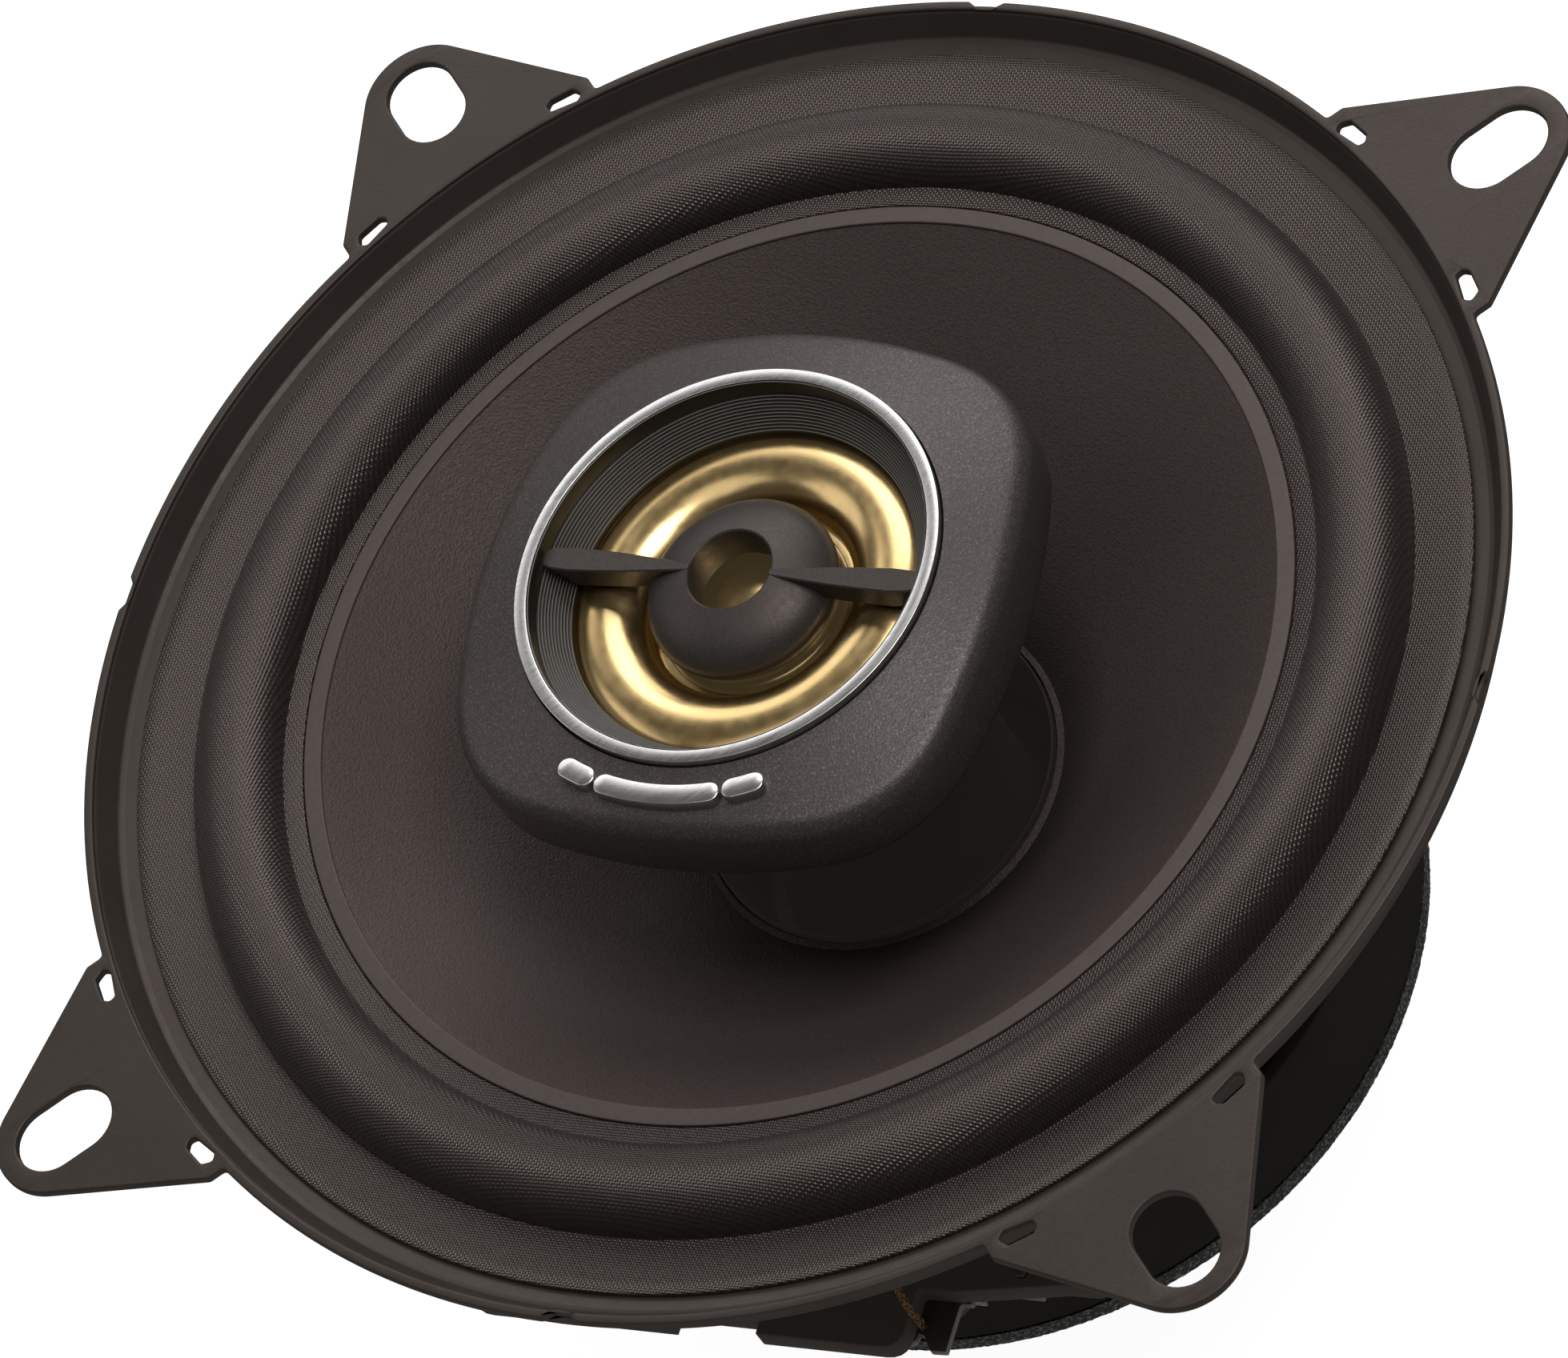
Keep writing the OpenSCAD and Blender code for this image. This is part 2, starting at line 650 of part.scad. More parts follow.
// Gold ring: clamped lip, crest and the slope down to the dome.
module tweeter_surround() {
    t = 0.2;
    crest_r = 10.3;
    crest_z = 7.25;
    inner_r = 7;
    inner_z = 4.8;
    steps = 12;
    outside = [for (k = [0 : steps]) let (a = 90 * k / steps)
        [12.1 - (12.1 - crest_r) * (1 - cos(a)), lip_top - t + (crest_z - lip_top + t) * sin(a)]];
    inside = [for (k = [1 : steps]) let (a = 90 * k / steps)
        [crest_r - (crest_r - inner_r) * sin(a), inner_z + (crest_z - inner_z) * cos(a)]];
    over = concat(outside, inside);
    color("gold") rotate_extrude() polygon(concat(
        [[15, lip_top - t], [15, lip_top - 0.02], [12.2, lip_top - 0.02]],
        over, [[6.7, inner_z], [6.7, inner_z - t]],
        [for (k = [len(over) - 1 : -1 : 1]) thinned(over[k], t)], [[12, lip_top - t]]));
}

// The point of the ring's rear face that lies behind the front point p.
function thinned(p, t) =
    let (away = unit([p[0] - 9.6, p[1] - 4.2]))
    [p[0] - t * away[0], max(p[1] - t * away[1] * 1.05, 4.6)];

module tweeter_dome() {
    rim = 6.65;
    sphere_r = 11.4;
    edge = 5.9;
    foot = 4.75;
    arc = [for (k = [0 : 10]) let (r = edge * (1 - k / 10))
        [r, foot + sqrt(sphere_r * sphere_r - r * r) - sqrt(sphere_r * sphere_r - edge * edge)]];
    color("gold") rotate_extrude() polygon(concat(
        [[rim, foot - 0.2], [rim, foot + 0.05]], [[edge + 0.3, foot + 0.05], [edge + 0.2, foot]],
        arc, [for (k = [10 : -1 : 0]) arc[k] - [0, 0.2]]));
}

module tweeter_coil() {
    color([0.7, 0.35, 0.15]) ring(t_coil_r + 0.35, t_coil_r, 1.7, 4.55);
}

// Hollow post between the pole and the tweeter, with a threaded end through the pole.
module tweeter_post() {
    bore = 1.9;
    spigot = pole_bore_r - eps;
    foot_z = back_z + 1.7;
    color([0.25, 0.24, 0.23]) rotate_extrude() polygon([
        [bore, foot_z], [spigot, foot_z], [spigot, plate_top], [post_r + 1.2, plate_top],
        [post_r + 1.2, plate_top + 1], [post_r, plate_top + 2.4], [post_r, cup_z],
        [spigot, cup_z], [spigot, t_yoke_z], [bore, t_yoke_z]]);
}

module post_nut() {
    across_flats = 10;
    nut_z = back_z + 1.3;
    color("silver") difference() {
        translate([0, 0, nut_z]) cylinder(d = across_flats / cos(30), h = 1.65, $fn = 6);
        translate([0, 0, nut_z - 1]) cylinder(r = pole_bore_r - 0.03, h = 4);
    }
}

// ---------- terminals, drawn facing +X ----------

// The board: a main plate with a shallow notch, and a narrow wing at each side.
module terminal_board() {
    corner = 1.2;
    inner = 34.5;
    notch = board_d - 1;
    side = board_half_w - corner;
    color([0.08, 0.08, 0.08]) rotate([0, 0, terminal_turn]) translate([0, 0, board_rear])
        linear_extrude(board_t) difference() {
            union() {
                polygon([[inner, -board_half_w], [board_d - corner, -board_half_w], [board_d, -side],
                         [board_d, side], [board_d - corner, board_half_w], [inner, board_half_w]]);
                for (s = [-1, 1]) translate([board_d - corner, s * side]) circle(r = corner);
                polygon([[inner, -wing_w], [wing_end_d, -wing_w], [wing_end_d, -26.5], [wing_d, -18.8],
                         [wing_d, 18.8], [wing_end_d, 26.5], [wing_end_d, wing_w], [inner, wing_w]]);
            }
            circle(r = board_inner_r);
            translate([notch, notch_from]) square([2, notch_to - notch_from]);
            for (s = [-1, 1]) {
                translate([board_rivet_x, s * board_rivet_y]) circle(r = 1.05);
                translate([lug_rivet_x, s * lug_rivet_y]) circle(r = 0.95);
                translate([stake_x, s * stake_y]) circle(r = stake_r + eps);
            }
        }
}

module board_rivets() {
    tongue_rear = board_rear - tongue_t;
    color("silver") rotate([0, 0, terminal_turn]) for (s = [-1, 1])
        translate([board_rivet_x, s * board_rivet_y, 0]) {
            disc(1, tongue_rear - 0.3, board_z + 0.2);
            disc(1.4, board_z, board_z + 0.6);
            disc(1.4, tongue_rear - 0.7, tongue_rear);
        }
}

module terminal_rivets() {
    lug_rear = board_rear - tab_t;
    color("silver") rotate([0, 0, terminal_turn]) for (s = [-1, 1])
        translate([lug_rivet_x, s * lug_rivet_y, 0]) {
            disc(0.9, lug_rear - 0.2, board_z + 0.2);
            disc(1.3, board_z, board_z + 0.4);
            disc(1.3, lug_rear - 0.4, lug_rear);
        }
}

// The flat of a terminal, with the forked solder lug at its outer end.
module lug_outline(inner_x) {
    side = blade_y + tab_t;
    difference() {
        polygon([[34.6, 16.6], [40, 15.2], [42.9, 15.35], [42.3, 16.35], [41.75, 16.45], [41.85, 16.85],
                 [42.9, 17.6], [42.85, 18.75], [39.5, 18.75], [wing_d, 18.95], [wing_d, 19.5],
                 [blade_x, 19.6], [blade_x, side], [38.3, side], [38.3, 24.4], [36.5, 24.4],
                 [36.5, side], [inner_x, side], [34.4, 19.5]]);
        translate([lug_rivet_x, lug_rivet_y]) circle(r = 0.95);
    }
}

// A stamped terminal on the +Y side: the lug, a stake through the board, and a blade bent to the rear.
module terminal(blade_w) {
    inner_x = blade_x - blade_w;
    tip_z = board_rear - blade_len;
    corner = 0.3;
    translate([0, 0, board_rear - tab_t]) linear_extrude(tab_t) lug_outline(inner_x);
    translate([stake_x, stake_y, 0]) disc(stake_r, board_rear - eps, board_z + 0.25);
    translate([0, blade_y + tab_t, 0]) rotate([90, 0, 0]) linear_extrude(tab_t) difference() {
        polygon([[inner_x, board_rear - eps], [inner_x, tip_z + corner], [inner_x + corner, tip_z],
                 [blade_x - corner, tip_z], [blade_x, tip_z + corner], [blade_x, board_rear - eps]]);
        translate([blade_x - 1.4, board_rear - 3.5]) circle(r = 0.75);
    }
}

module terminal_positive() {
    color([0.6, 0.58, 0.55]) rotate([0, 0, terminal_turn]) mirror([0, 1, 0]) terminal(blade_wide);
}

module terminal_negative() {
    color([0.6, 0.58, 0.55]) rotate([0, 0, terminal_turn]) terminal(blade_narrow);
}

// Axial capacitor across the back of the terminals' leg.
module capacitor() {
    len = 2 * cap_half;
    color([0.1, 0.15, 0.4]) rotate([0, 0, terminal_turn]) translate([cap_x, -cap_half, cap_z])
        rotate([-90, 0, 0]) rotate_extrude() polygon([
            [0, 0], [cap_r - 0.5, 0], [cap_r, 0.5], [cap_r, 1.6], [cap_r - 0.3, 1.9],
            [cap_r, 2.2], [cap_r, len - 0.5], [cap_r - 0.5, len], [0, len]]);
}

// ---------- wires, drawn facing +X ----------

module wire(route, r, n) {
    rotate([0, 0, terminal_turn]) tube_along(route, r, n);
}

module tinsel_lead_positive() {
    color("peru") wire(flip_side(lead_route), lead_r, 4);
}

module tinsel_lead_negative() {
    color("peru") wire(lead_route, lead_r, 4);
}

module capacitor_lead_in() {
    color("silver") wire(cap_in_route, cap_lead_r, 4);
}

module capacitor_lead_out() {
    color("silver") wire(cap_out_route, cap_lead_r, 4);
}

// Both wires run from the tweeter down the hollow post, out under the back plate and up the boot.
module tweeter_wire_positive() {
    color("red") wire(positive_wire_route, wire_r, 5);
}

module tweeter_wire_negative() {
    color("black") wire(negative_wire_route, wire_r, 5);
}

basket();
top_plate();
basket_rivets();
magnet();
yoke();
magnet_boot();
surround();
spider();
cone();
voice_coil_former();
voice_coil();
lead_pads();
tweeter_post();
post_nut();
tweeter_housing();
tweeter_bezel();
tweeter_horn();
phase_plug();
badge();
tweeter_yoke();
tweeter_magnet();
tweeter_pole_plate();
tweeter_surround();
tweeter_dome();
tweeter_coil();
terminal_board();
terminal_positive();
terminal_negative();
terminal_rivets();
board_rivets();
capacitor();
capacitor_lead_in();
capacitor_lead_out();
tweeter_wire_positive();
tweeter_wire_negative();
tinsel_lead_positive();
tinsel_lead_negative();
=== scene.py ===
"""Looks of a two-way coaxial car speaker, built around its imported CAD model."""
import math

import bmesh
import bpy
import numpy as np
from mathutils import Matrix, Vector
from mathutils.geometry import tessellate_polygon


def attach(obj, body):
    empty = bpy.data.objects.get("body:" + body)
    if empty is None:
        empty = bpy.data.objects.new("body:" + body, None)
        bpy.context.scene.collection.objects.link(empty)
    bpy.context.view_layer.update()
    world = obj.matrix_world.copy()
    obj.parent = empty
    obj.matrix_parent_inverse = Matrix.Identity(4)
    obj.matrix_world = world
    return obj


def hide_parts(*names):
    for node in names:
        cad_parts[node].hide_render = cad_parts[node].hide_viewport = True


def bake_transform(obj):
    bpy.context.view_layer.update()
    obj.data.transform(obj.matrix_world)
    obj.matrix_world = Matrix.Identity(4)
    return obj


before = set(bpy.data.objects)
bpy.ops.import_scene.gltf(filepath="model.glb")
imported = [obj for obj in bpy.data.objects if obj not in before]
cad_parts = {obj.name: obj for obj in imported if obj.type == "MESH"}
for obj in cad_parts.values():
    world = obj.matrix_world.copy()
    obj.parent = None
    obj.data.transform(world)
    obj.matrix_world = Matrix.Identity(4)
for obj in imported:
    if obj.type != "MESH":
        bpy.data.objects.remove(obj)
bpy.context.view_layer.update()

MM = 0.001
FRAME, CONE, DOME = "frame", "cone_assembly", "dome_assembly"
TERMINAL_TURN = 225          # the terminals' leg, degrees about Z
TWEETER_TURN = -45           # the bridge over the tweeter
EAR_ANGLES = (0, 90, 180, 270)
HORN_WIDE, HORN_RUN = 14.1, 0.164    # the horn's stepped wall: its top radius, and one step inwards
WARM = (1, 0.82, 0.76, 1)            # tint of a dark finish's reflections
# Painted light: a very faint glow that keeps dark pieces, those deep in the gap and the terminal board,
# from going black.
PAINTED_GLOW = {"Emission_Color": (1, 0.79, 0.64, 1), "Emission_Strength": 0.009}


# ---------- camera and lights ----------

CAMERA_TURN = (2.2, 51.5, 36.1)      # azimuth, elevation and roll, degrees
CAMERA_AIM = (-1.24, -2.54, 0)
CAMERA_AWAY = 639.2


def camera():
    """Makes the camera. Returns the picture's right, up and towards the camera, as directions."""
    azimuth, elevation, roll = (math.radians(a) for a in CAMERA_TURN)
    view = Vector((-math.sin(azimuth) * math.cos(elevation),
                   math.cos(azimuth) * math.cos(elevation), -math.sin(elevation)))
    level = view.cross(Vector((0, 0, 1))).normalized()
    upright = level.cross(view)
    up = math.cos(roll) * upright + math.sin(roll) * level
    right = view.cross(up)
    data = bpy.data.cameras.new("camera")
    data.lens = 220.3
    data.sensor_width = 36
    data.clip_start = 0.01
    data.clip_end = 20
    cam = bpy.data.objects.new("camera", data)
    place = (Vector(CAMERA_AIM) - view * CAMERA_AWAY) * MM
    cam.matrix_world = Matrix([[right[i], up[i], -view[i], place[i]] for i in range(3)] + [[0, 0, 0, 1]])
    bpy.context.scene.collection.objects.link(cam)
    bpy.context.scene.camera = cam
    return right, up, -view


RIGHT, UP, BACK = camera()
SOFTBOX_SIDE, SOFTBOX_AWAY = 0.45, 0.9    # metres
WORLD_STRENGTH = 0.06


def softbox(name, direction, watts):
    """A square area light, its direction given along the picture's right, up and towards the camera."""
    along = (RIGHT * direction[0] + UP * direction[1] + BACK * direction[2]).normalized()
    data = bpy.data.lights.new(name, "AREA")
    data.shape = "RECTANGLE"
    data.size = data.size_y = SOFTBOX_SIDE
    data.energy = watts
    light = bpy.data.objects.new(name, data)
    light.location = along * SOFTBOX_AWAY
    light.rotation_mode = "QUATERNION"
    light.rotation_quaternion = along.to_track_quat("Z", "Y")
    bpy.context.scene.collection.objects.link(light)


def studio():
    """Colour management, a dim warm world and the six softboxes."""
    scene = bpy.context.scene
    scene.view_settings.view_transform = "Standard"
    world = bpy.data.worlds.new("studio")
    scene.world = world
    world.use_nodes = True
    back = world.node_tree.nodes["Background"]
    back.inputs["Color"].default_value = (1, 0.985, 0.97, 1)
    back.inputs["Strength"].default_value = WORLD_STRENGTH
    softbox("front", (0, 0.5, 0.85), 3.9)
    softbox("top", (-0.2, 0.95, 0.2), 1.9)
    softbox("back", (-0.55, 0.83, -0.1), 0.9)
    softbox("side", (-0.95, 0.3, 0.15), 0.6)
    softbox("far", (0.1, 0.95, -0.25), 1.3)
    softbox("front_side", (-0.5, 0.3, 0.8), 0.5)


# ---------- materials ----------

WINDING_PITCH = 0.00028              # metres
MATERIALS = {}                       # every finish by its name, filled by Shade


class Shade:
    """One Principled material whose colour, roughness and bump come from procedural nodes."""

    def __init__(self, name, colour, rough, metal=0.0, **sockets):
        material = MATERIALS[name] = bpy.data.materials.new(name)
        material.use_nodes = True
        self.tree = material.node_tree
        self.shader = self.tree.nodes["Principled BSDF"]
        self.colour = colour
        self.set("Base Color", (*colour, 1))
        self.set("Roughness", rough)
        self.set("Metallic", metal)
        for key, value in sockets.items():
            self.set(key.replace("_", " "), value)
        self.rough = rough
        self.place = self.node("ShaderNodeTexCoord").outputs["Object"]
        self.normal = None

    def set(self, socket, value):
        self.shader.inputs[socket].default_value = value

    def node(self, kind, **settings):
        made = self.tree.nodes.new(kind)
        for key, value in settings.items():
            setattr(made, key, value)
        return made

    def join(self, out, into):
        self.tree.links.new(out, into)

    def feed(self, value, into):
        if isinstance(value, bpy.types.NodeSocket):
            self.join(value, into)
        else:
            into.default_value = value

    def math(self, operation, a, b=0.0):
        made = self.node("ShaderNodeMath", operation=operation)
        self.feed(a, made.inputs[0])
        self.feed(b, made.inputs[1])
        return made.outputs[0]

    def stretched(self, scale, turn=0.0):
        """Object coordinates turned about Z by degrees, then scaled, which draws a pattern out."""
        made = self.node("ShaderNodeMapping")
        self.join(self.place, made.inputs["Vector"])
        made.inputs["Rotation"].default_value = (0, 0, math.radians(turn))
        made.inputs["Scale"].default_value = scale
        return made.outputs["Vector"]

    def split(self, vector):
        """The x, y and z of a vector socket."""
        made = self.node("ShaderNodeSeparateXYZ")
        self.join(vector, made.inputs[0])
        return made.outputs

    def polar(self, radial, around):
        """Coordinates that follow the circles about the axis: radius, angle and z, each scaled."""
        x, y, z = self.split(self.place)
        squares = self.math("ADD", self.math("MULTIPLY", x, x), self.math("MULTIPLY", y, y))
        radius = self.math("SQRT", squares)
        angle = self.math("ARCTAN2", y, x)
        joined = self.node("ShaderNodeCombineXYZ")
        self.join(self.math("MULTIPLY", radius, radial), joined.inputs[0])
        self.join(self.math("MULTIPLY", angle, around), joined.inputs[1])
        self.join(self.math("MULTIPLY", z, radial), joined.inputs[2])
        return joined.outputs[0]

    def noise(self, scale, detail, place=None):
        made = self.node("ShaderNodeTexNoise")
        self.join(place or self.place, made.inputs["Vector"])
        made.inputs["Scale"].default_value = scale
        made.inputs["Detail"].default_value = detail
        return made.outputs["Fac"]

    def cells(self, scale, feature="F1"):
        made = self.node("ShaderNodeTexVoronoi", feature=feature)
        self.join(self.place, made.inputs["Vector"])
        made.inputs["Scale"].default_value = scale
        return made.outputs["Distance"]

    def span(self, value, low, high, to_low=0.0, to_high=1.0):
        """A socket's value mapped from one range to another, and held inside it."""
        made = self.node("ShaderNodeMapRange")
        self.join(value, made.inputs["Value"])
        ends = {"From Min": low, "From Max": high, "To Min": to_low, "To Max": to_high}
        for socket, number in ends.items():
            made.inputs[socket].default_value = number
        return made.outputs["Result"]

    def tint(self, amount, other):
        """Mixes another colour in, by amount (a socket from 0 to 1)."""
        made = self.node("ShaderNodeMix", data_type="RGBA")
        self.join(amount, made.inputs["Factor"])
        source = self.shader.inputs["Base Color"]
        if source.is_linked:
            self.join(source.links[0].from_socket, made.inputs["A"])
        else:
            made.inputs["A"].default_value = (*self.colour, 1)
        made.inputs["B"].default_value = (*other, 1)
        self.join(made.outputs["Result"], source)
        return self

    def mottle(self, scale, detail, low, high, other, most=1.0):
        """Mixes another colour in, in patches of noise."""
        return self.tint(self.span(self.noise(scale, detail), low, high, 0.0, most), other)

    def vary_rough(self, value, spread):
        """Lets the roughness follow a pattern, up to spread on either side."""
        self.join(self.span(value, 0.3, 0.7, self.rough - spread, self.rough + spread),
                  self.shader.inputs["Roughness"])
        return self

    def bump(self, height, distance):
        """Adds a relief of that height in metres on top of the earlier ones."""
        made = self.node("ShaderNodeBump")
        made.inputs["Distance"].default_value = distance
        self.join(height, made.inputs["Height"])
        if self.normal is not None:
            self.join(self.normal, made.inputs["Normal"])
        self.normal = made.outputs["Normal"]
        self.join(self.normal, self.shader.inputs["Normal"])
        return self

    def worn_edges(self, colour, low=0.52, high=0.6):
        """Tints the convex edges."""
        point = self.node("ShaderNodeNewGeometry").outputs["Pointiness"]
        return self.tint(self.span(point, low, high, 0.0, 0.6), colour)


def weave(shade, pitch, turn, depth):
    """Plain weave: two sets of threads that pass over and under each other. Returns its height."""
    x, y, _ = shade.split(shade.stretched((math.pi / pitch,) * 3, turn))
    a, b = shade.math("SINE", x), shade.math("SINE", y)
    over = shade.math("GREATER_THAN", shade.math("MULTIPLY", a, b), 0.0)
    warp, weft = shade.math("ABSOLUTE", a), shade.math("ABSOLUTE", b)
    blend = shade.node("ShaderNodeMix", data_type="FLOAT")
    shade.join(over, blend.inputs["Factor"])
    shade.join(shade.math("MULTIPLY", warp, shade.math("ADD", shade.math("MULTIPLY", weft, 0.4), 0.6)),
               blend.inputs["A"])
    shade.join(shade.math("MULTIPLY", weft, shade.math("ADD", shade.math("MULTIPLY", warp, 0.4), 0.6)),
               blend.inputs["B"])
    height = blend.outputs["Result"]
    shade.bump(height, depth)
    return height


def make_materials():
    """Every finish of the part. Bump heights and weave pitches are in metres."""
    s = Shade("basket_paint", (0.034, 0.0275, 0.0225), 0.42, Specular_IOR_Level=0.45, Specular_Tint=WARM)
    s.mottle(140, 3, 0.3, 0.75, (0.042, 0.035, 0.03))
    s.worn_edges((0.044, 0.037, 0.032), 0.56, 0.7)
    s.vary_rough(s.noise(1500, 2), 0.05).bump(s.noise(4200, 3), 0.000012)

    s = Shade("plated_steel", (0.56, 0.55, 0.52), 0.38, 1.0)
    fine = s.noise(1, 3, s.polar(9000, 3))
    s.mottle(160, 3, 0.4, 0.75, (0.42, 0.42, 0.4)).vary_rough(fine, 0.09)
    s.bump(fine, 0.00002)

    s = Shade("black_oxide", (0.016, 0.0145, 0.0135), 0.6, Specular_IOR_Level=0.25, **PAINTED_GLOW)
    s.mottle(260, 3, 0.4, 0.75, (0.022, 0.02, 0.018)).vary_rough(s.noise(1800, 2), 0.08)
    s.bump(s.noise(1, 3, s.polar(7000, 3)), 0.00001)

    s = Shade("ferrite", (0.035, 0.034, 0.036), 0.55)
    s.mottle(700, 4, 0.4, 0.8, (0.07, 0.068, 0.07)).bump(s.noise(2600, 4), 0.00008)

    s = Shade("boot_rubber", (0.013, 0.0113, 0.0093), 0.7, Specular_IOR_Level=0.06)
    s.mottle(80, 2, 0.35, 0.7, (0.016, 0.0139, 0.0115)).vary_rough(s.noise(500, 3), 0.06)
    s.bump(s.noise(3000, 3), 0.00001)

    s = Shade("boot_band", (0.02, 0.02, 0.019), 0.4)
    grain = s.noise(4200, 3)
    s.tint(s.span(grain, 0.5, 0.68), (0.13, 0.135, 0.125)).vary_rough(s.noise(2600, 2), 0.12)
    s.bump(grain, 0.00008)

    s = Shade("surround_cloth", (0.011, 0.0088, 0.0077), 0.35, Specular_IOR_Level=1.0,
              Specular_Tint=WARM, Sheen_Weight=0.04, Sheen_Roughness=0.4, Sheen_Tint=(0.8, 0.75, 0.7, 1))
    threads = weave(s, 0.0002, 45, 0.000045)
    s.tint(s.span(threads, 0.45, 0.95), (0.034, 0.0272, 0.0245)).vary_rough(s.noise(2400, 2), 0.06)
    s.bump(s.noise(320, 3), 0.00005)

    s = Shade("spider_cloth", (0.30, 0.17, 0.06), 0.7, Sheen_Weight=0.2)
    threads = weave(s, 0.0006, 45, 0.00015)
    s.tint(s.span(threads, 0.3, 0.9), (0.52, 0.33, 0.13)).vary_rough(s.noise(900, 2), 0.08)

    s = Shade("cone_polymer", (0.064, 0.05, 0.0455), 0.52, Specular_IOR_Level=0.4, Specular_Tint=WARM)
    grain = s.cells(6500, feature="SMOOTH_F1")
    s.mottle(45, 2, 0.35, 0.7, (0.072, 0.0565, 0.0515))
    s.tint(s.span(grain, 0.2, 0.6, 0.0, 0.7), (0.042, 0.0325, 0.0295)).vary_rough(s.noise(2400, 2), 0.05)
    # Painted shade: the face darkens towards the neck, where the housing above it shades it.
    radius = s.split(s.polar(1, 1))[0]    # darker towards the neck
    s.tint(s.span(radius, 13 * MM, 18 * MM, 0.8, 0.0), (0.014, 0.0115, 0.0105))
    s.bump(grain, 0.00004)

    s = Shade("cone_rim_lacquer", (0.066, 0.052, 0.048), 0.42, Specular_Tint=WARM)
    s.mottle(2200, 3, 0.35, 0.7, (0.078, 0.0625, 0.058)).vary_rough(s.noise(900, 2), 0.04)
    s.bump(s.noise(6000, 2), 0.000008)

    s = Shade("former_foil", (0.012, 0.0105, 0.0095), 0.75, Specular_IOR_Level=0.15, **PAINTED_GLOW)
    lines = s.noise(1, 2, s.polar(4000, 2))
    s.tint(s.span(lines, 0.4, 0.7), (0.015, 0.0135, 0.012)).vary_rough(lines, 0.08).bump(lines, 0.00001)

    s = Shade("copper_winding", (0.72, 0.33, 0.15), 0.37, 1.0)
    height = s.split(s.place)[2]
    turns = s.math("ABSOLUTE", s.math("SINE", s.math("MULTIPLY", height, math.pi / WINDING_PITCH)))
    # Painted shade: darker in the grooves between the turns of wire.
    s.tint(s.span(turns, 0.0, 0.6, 0.6, 0.0), (0.2, 0.07, 0.03)).vary_rough(s.noise(600, 2), 0.08)
    s.bump(turns, 0.0001)

    s = Shade("brass", (0.72, 0.52, 0.24), 0.4, 1.0)
    s.mottle(900, 3, 0.4, 0.75, (0.5, 0.34, 0.14)).vary_rough(s.noise(2500, 2), 0.1)
    s.bump(s.noise(3500, 2), 0.00002)

    s = Shade("post_plastic", (0.014, 0.012, 0.0105), 0.6, Specular_IOR_Level=0.2, **PAINTED_GLOW)
    s.mottle(120, 2, 0.35, 0.7, (0.018, 0.016, 0.015)).vary_rough(s.noise(1400, 2), 0.06)
    s.bump(s.noise(5000, 2), 0.00001)

    s = Shade("housing_plastic", (0.078, 0.0655, 0.0595), 0.42, 0.4)
    flake = s.cells(6500)
    s.tint(s.span(flake, 0.3, 0.6, 0.0, 0.8), (0.054, 0.045, 0.0405))
    s.mottle(7000, 2, 0.52, 0.7, (0.17, 0.146, 0.135), 0.8)
    s.mottle(60, 2, 0.35, 0.7, (0.065, 0.0545, 0.0495), 0.4)
    s.vary_rough(s.noise(5200, 2), 0.1).bump(flake, 0.000012)

    s = Shade("bezel_aluminium", (0.8, 0.79, 0.775), 0.225, 1.0)
    brushed = s.noise(1, 3, s.stretched((200, 5000, 200), 20))
    s.tint(s.span(brushed, 0.4, 0.7), (0.68, 0.67, 0.66)).vary_rough(brushed, 0.04)
    s.bump(brushed, 0.0000002)

    s = Shade("horn_plastic", (0.016, 0.0135, 0.0115), 0.34, Specular_IOR_Level=0.35)
    inwards = s.math("SUBTRACT", HORN_WIDE * MM, s.split(s.polar(1, 1))[0])
    step = s.math("FRACT", s.math("DIVIDE", inwards, HORN_RUN * MM))
    s.mottle(500, 2, 0.4, 0.7, (0.02, 0.017, 0.0145))
    # Painted highlight: a pale line along each step's edge stands in for the glint off its rounding.
    s.tint(s.span(step, 0.66, 0.8, 0.0, 0.75), (0.26, 0.235, 0.205)).vary_rough(s.noise(1500, 2), 0.04)
    s.bump(s.noise(2500, 2), 0.000004)

    s = Shade("plug_plastic", (0.034, 0.029, 0.026), 0.44, 0.1, Specular_Tint=WARM)
    s.tint(s.span(s.cells(7500), 0.25, 0.6), (0.05, 0.044, 0.04)).vary_rough(s.noise(3000, 2), 0.06)
    s.bump(s.noise(8000, 2), 0.000012)

    for name, rough in (("gold_film", 0.235), ("gold_dome_film", 0.2)):
        s = Shade(name, (0.8, 0.575, 0.27), rough, 1.0)
        s.mottle(220, 2, 0.35, 0.75, (0.74, 0.51, 0.215), 0.5)
        s.vary_rough(s.noise(1200, 3), 0.03).bump(s.noise(1, 2, s.polar(5000, 4)), 0.000002)
    # The last one, the dome's, glows a little: the plug's hole keeps most light from it.
    s.set("Emission Color", (0.9, 0.68, 0.3, 1))
    s.set("Emission Strength", 0.035)

    s = Shade("neodymium", (0.62, 0.62, 0.63), 0.22, 1.0)
    s.mottle(700, 3, 0.4, 0.8, (0.45, 0.45, 0.47)).bump(s.noise(2600, 3), 0.00002)

    s = Shade("board_black", (0.02, 0.0175, 0.0155), 0.6, Specular_IOR_Level=0.25, **PAINTED_GLOW)
    s.mottle(300, 3, 0.35, 0.75, (0.026, 0.0225, 0.02)).vary_rough(s.noise(900, 2), 0.07)
    s.bump(s.noise(4200, 2), 0.000008)

    s = Shade("terminal_tin", (0.15, 0.125, 0.115), 0.55, 0.5)
    lines = s.noise(1, 3, s.stretched((7000, 300, 300), 45))
    s.mottle(300, 3, 0.35, 0.75, (0.115, 0.096, 0.088)).worn_edges((0.34, 0.3, 0.28))
    s.vary_rough(lines, 0.1).bump(lines, 0.00002)

    s = Shade("capacitor_sleeve", (0.02, 0.045, 0.16), 0.3, Coat_Weight=0.4)
    s.mottle(260, 2, 0.35, 0.75, (0.025, 0.06, 0.2)).vary_rough(s.noise(900, 2), 0.06)
    s.bump(s.noise(1200, 2), 0.00004)

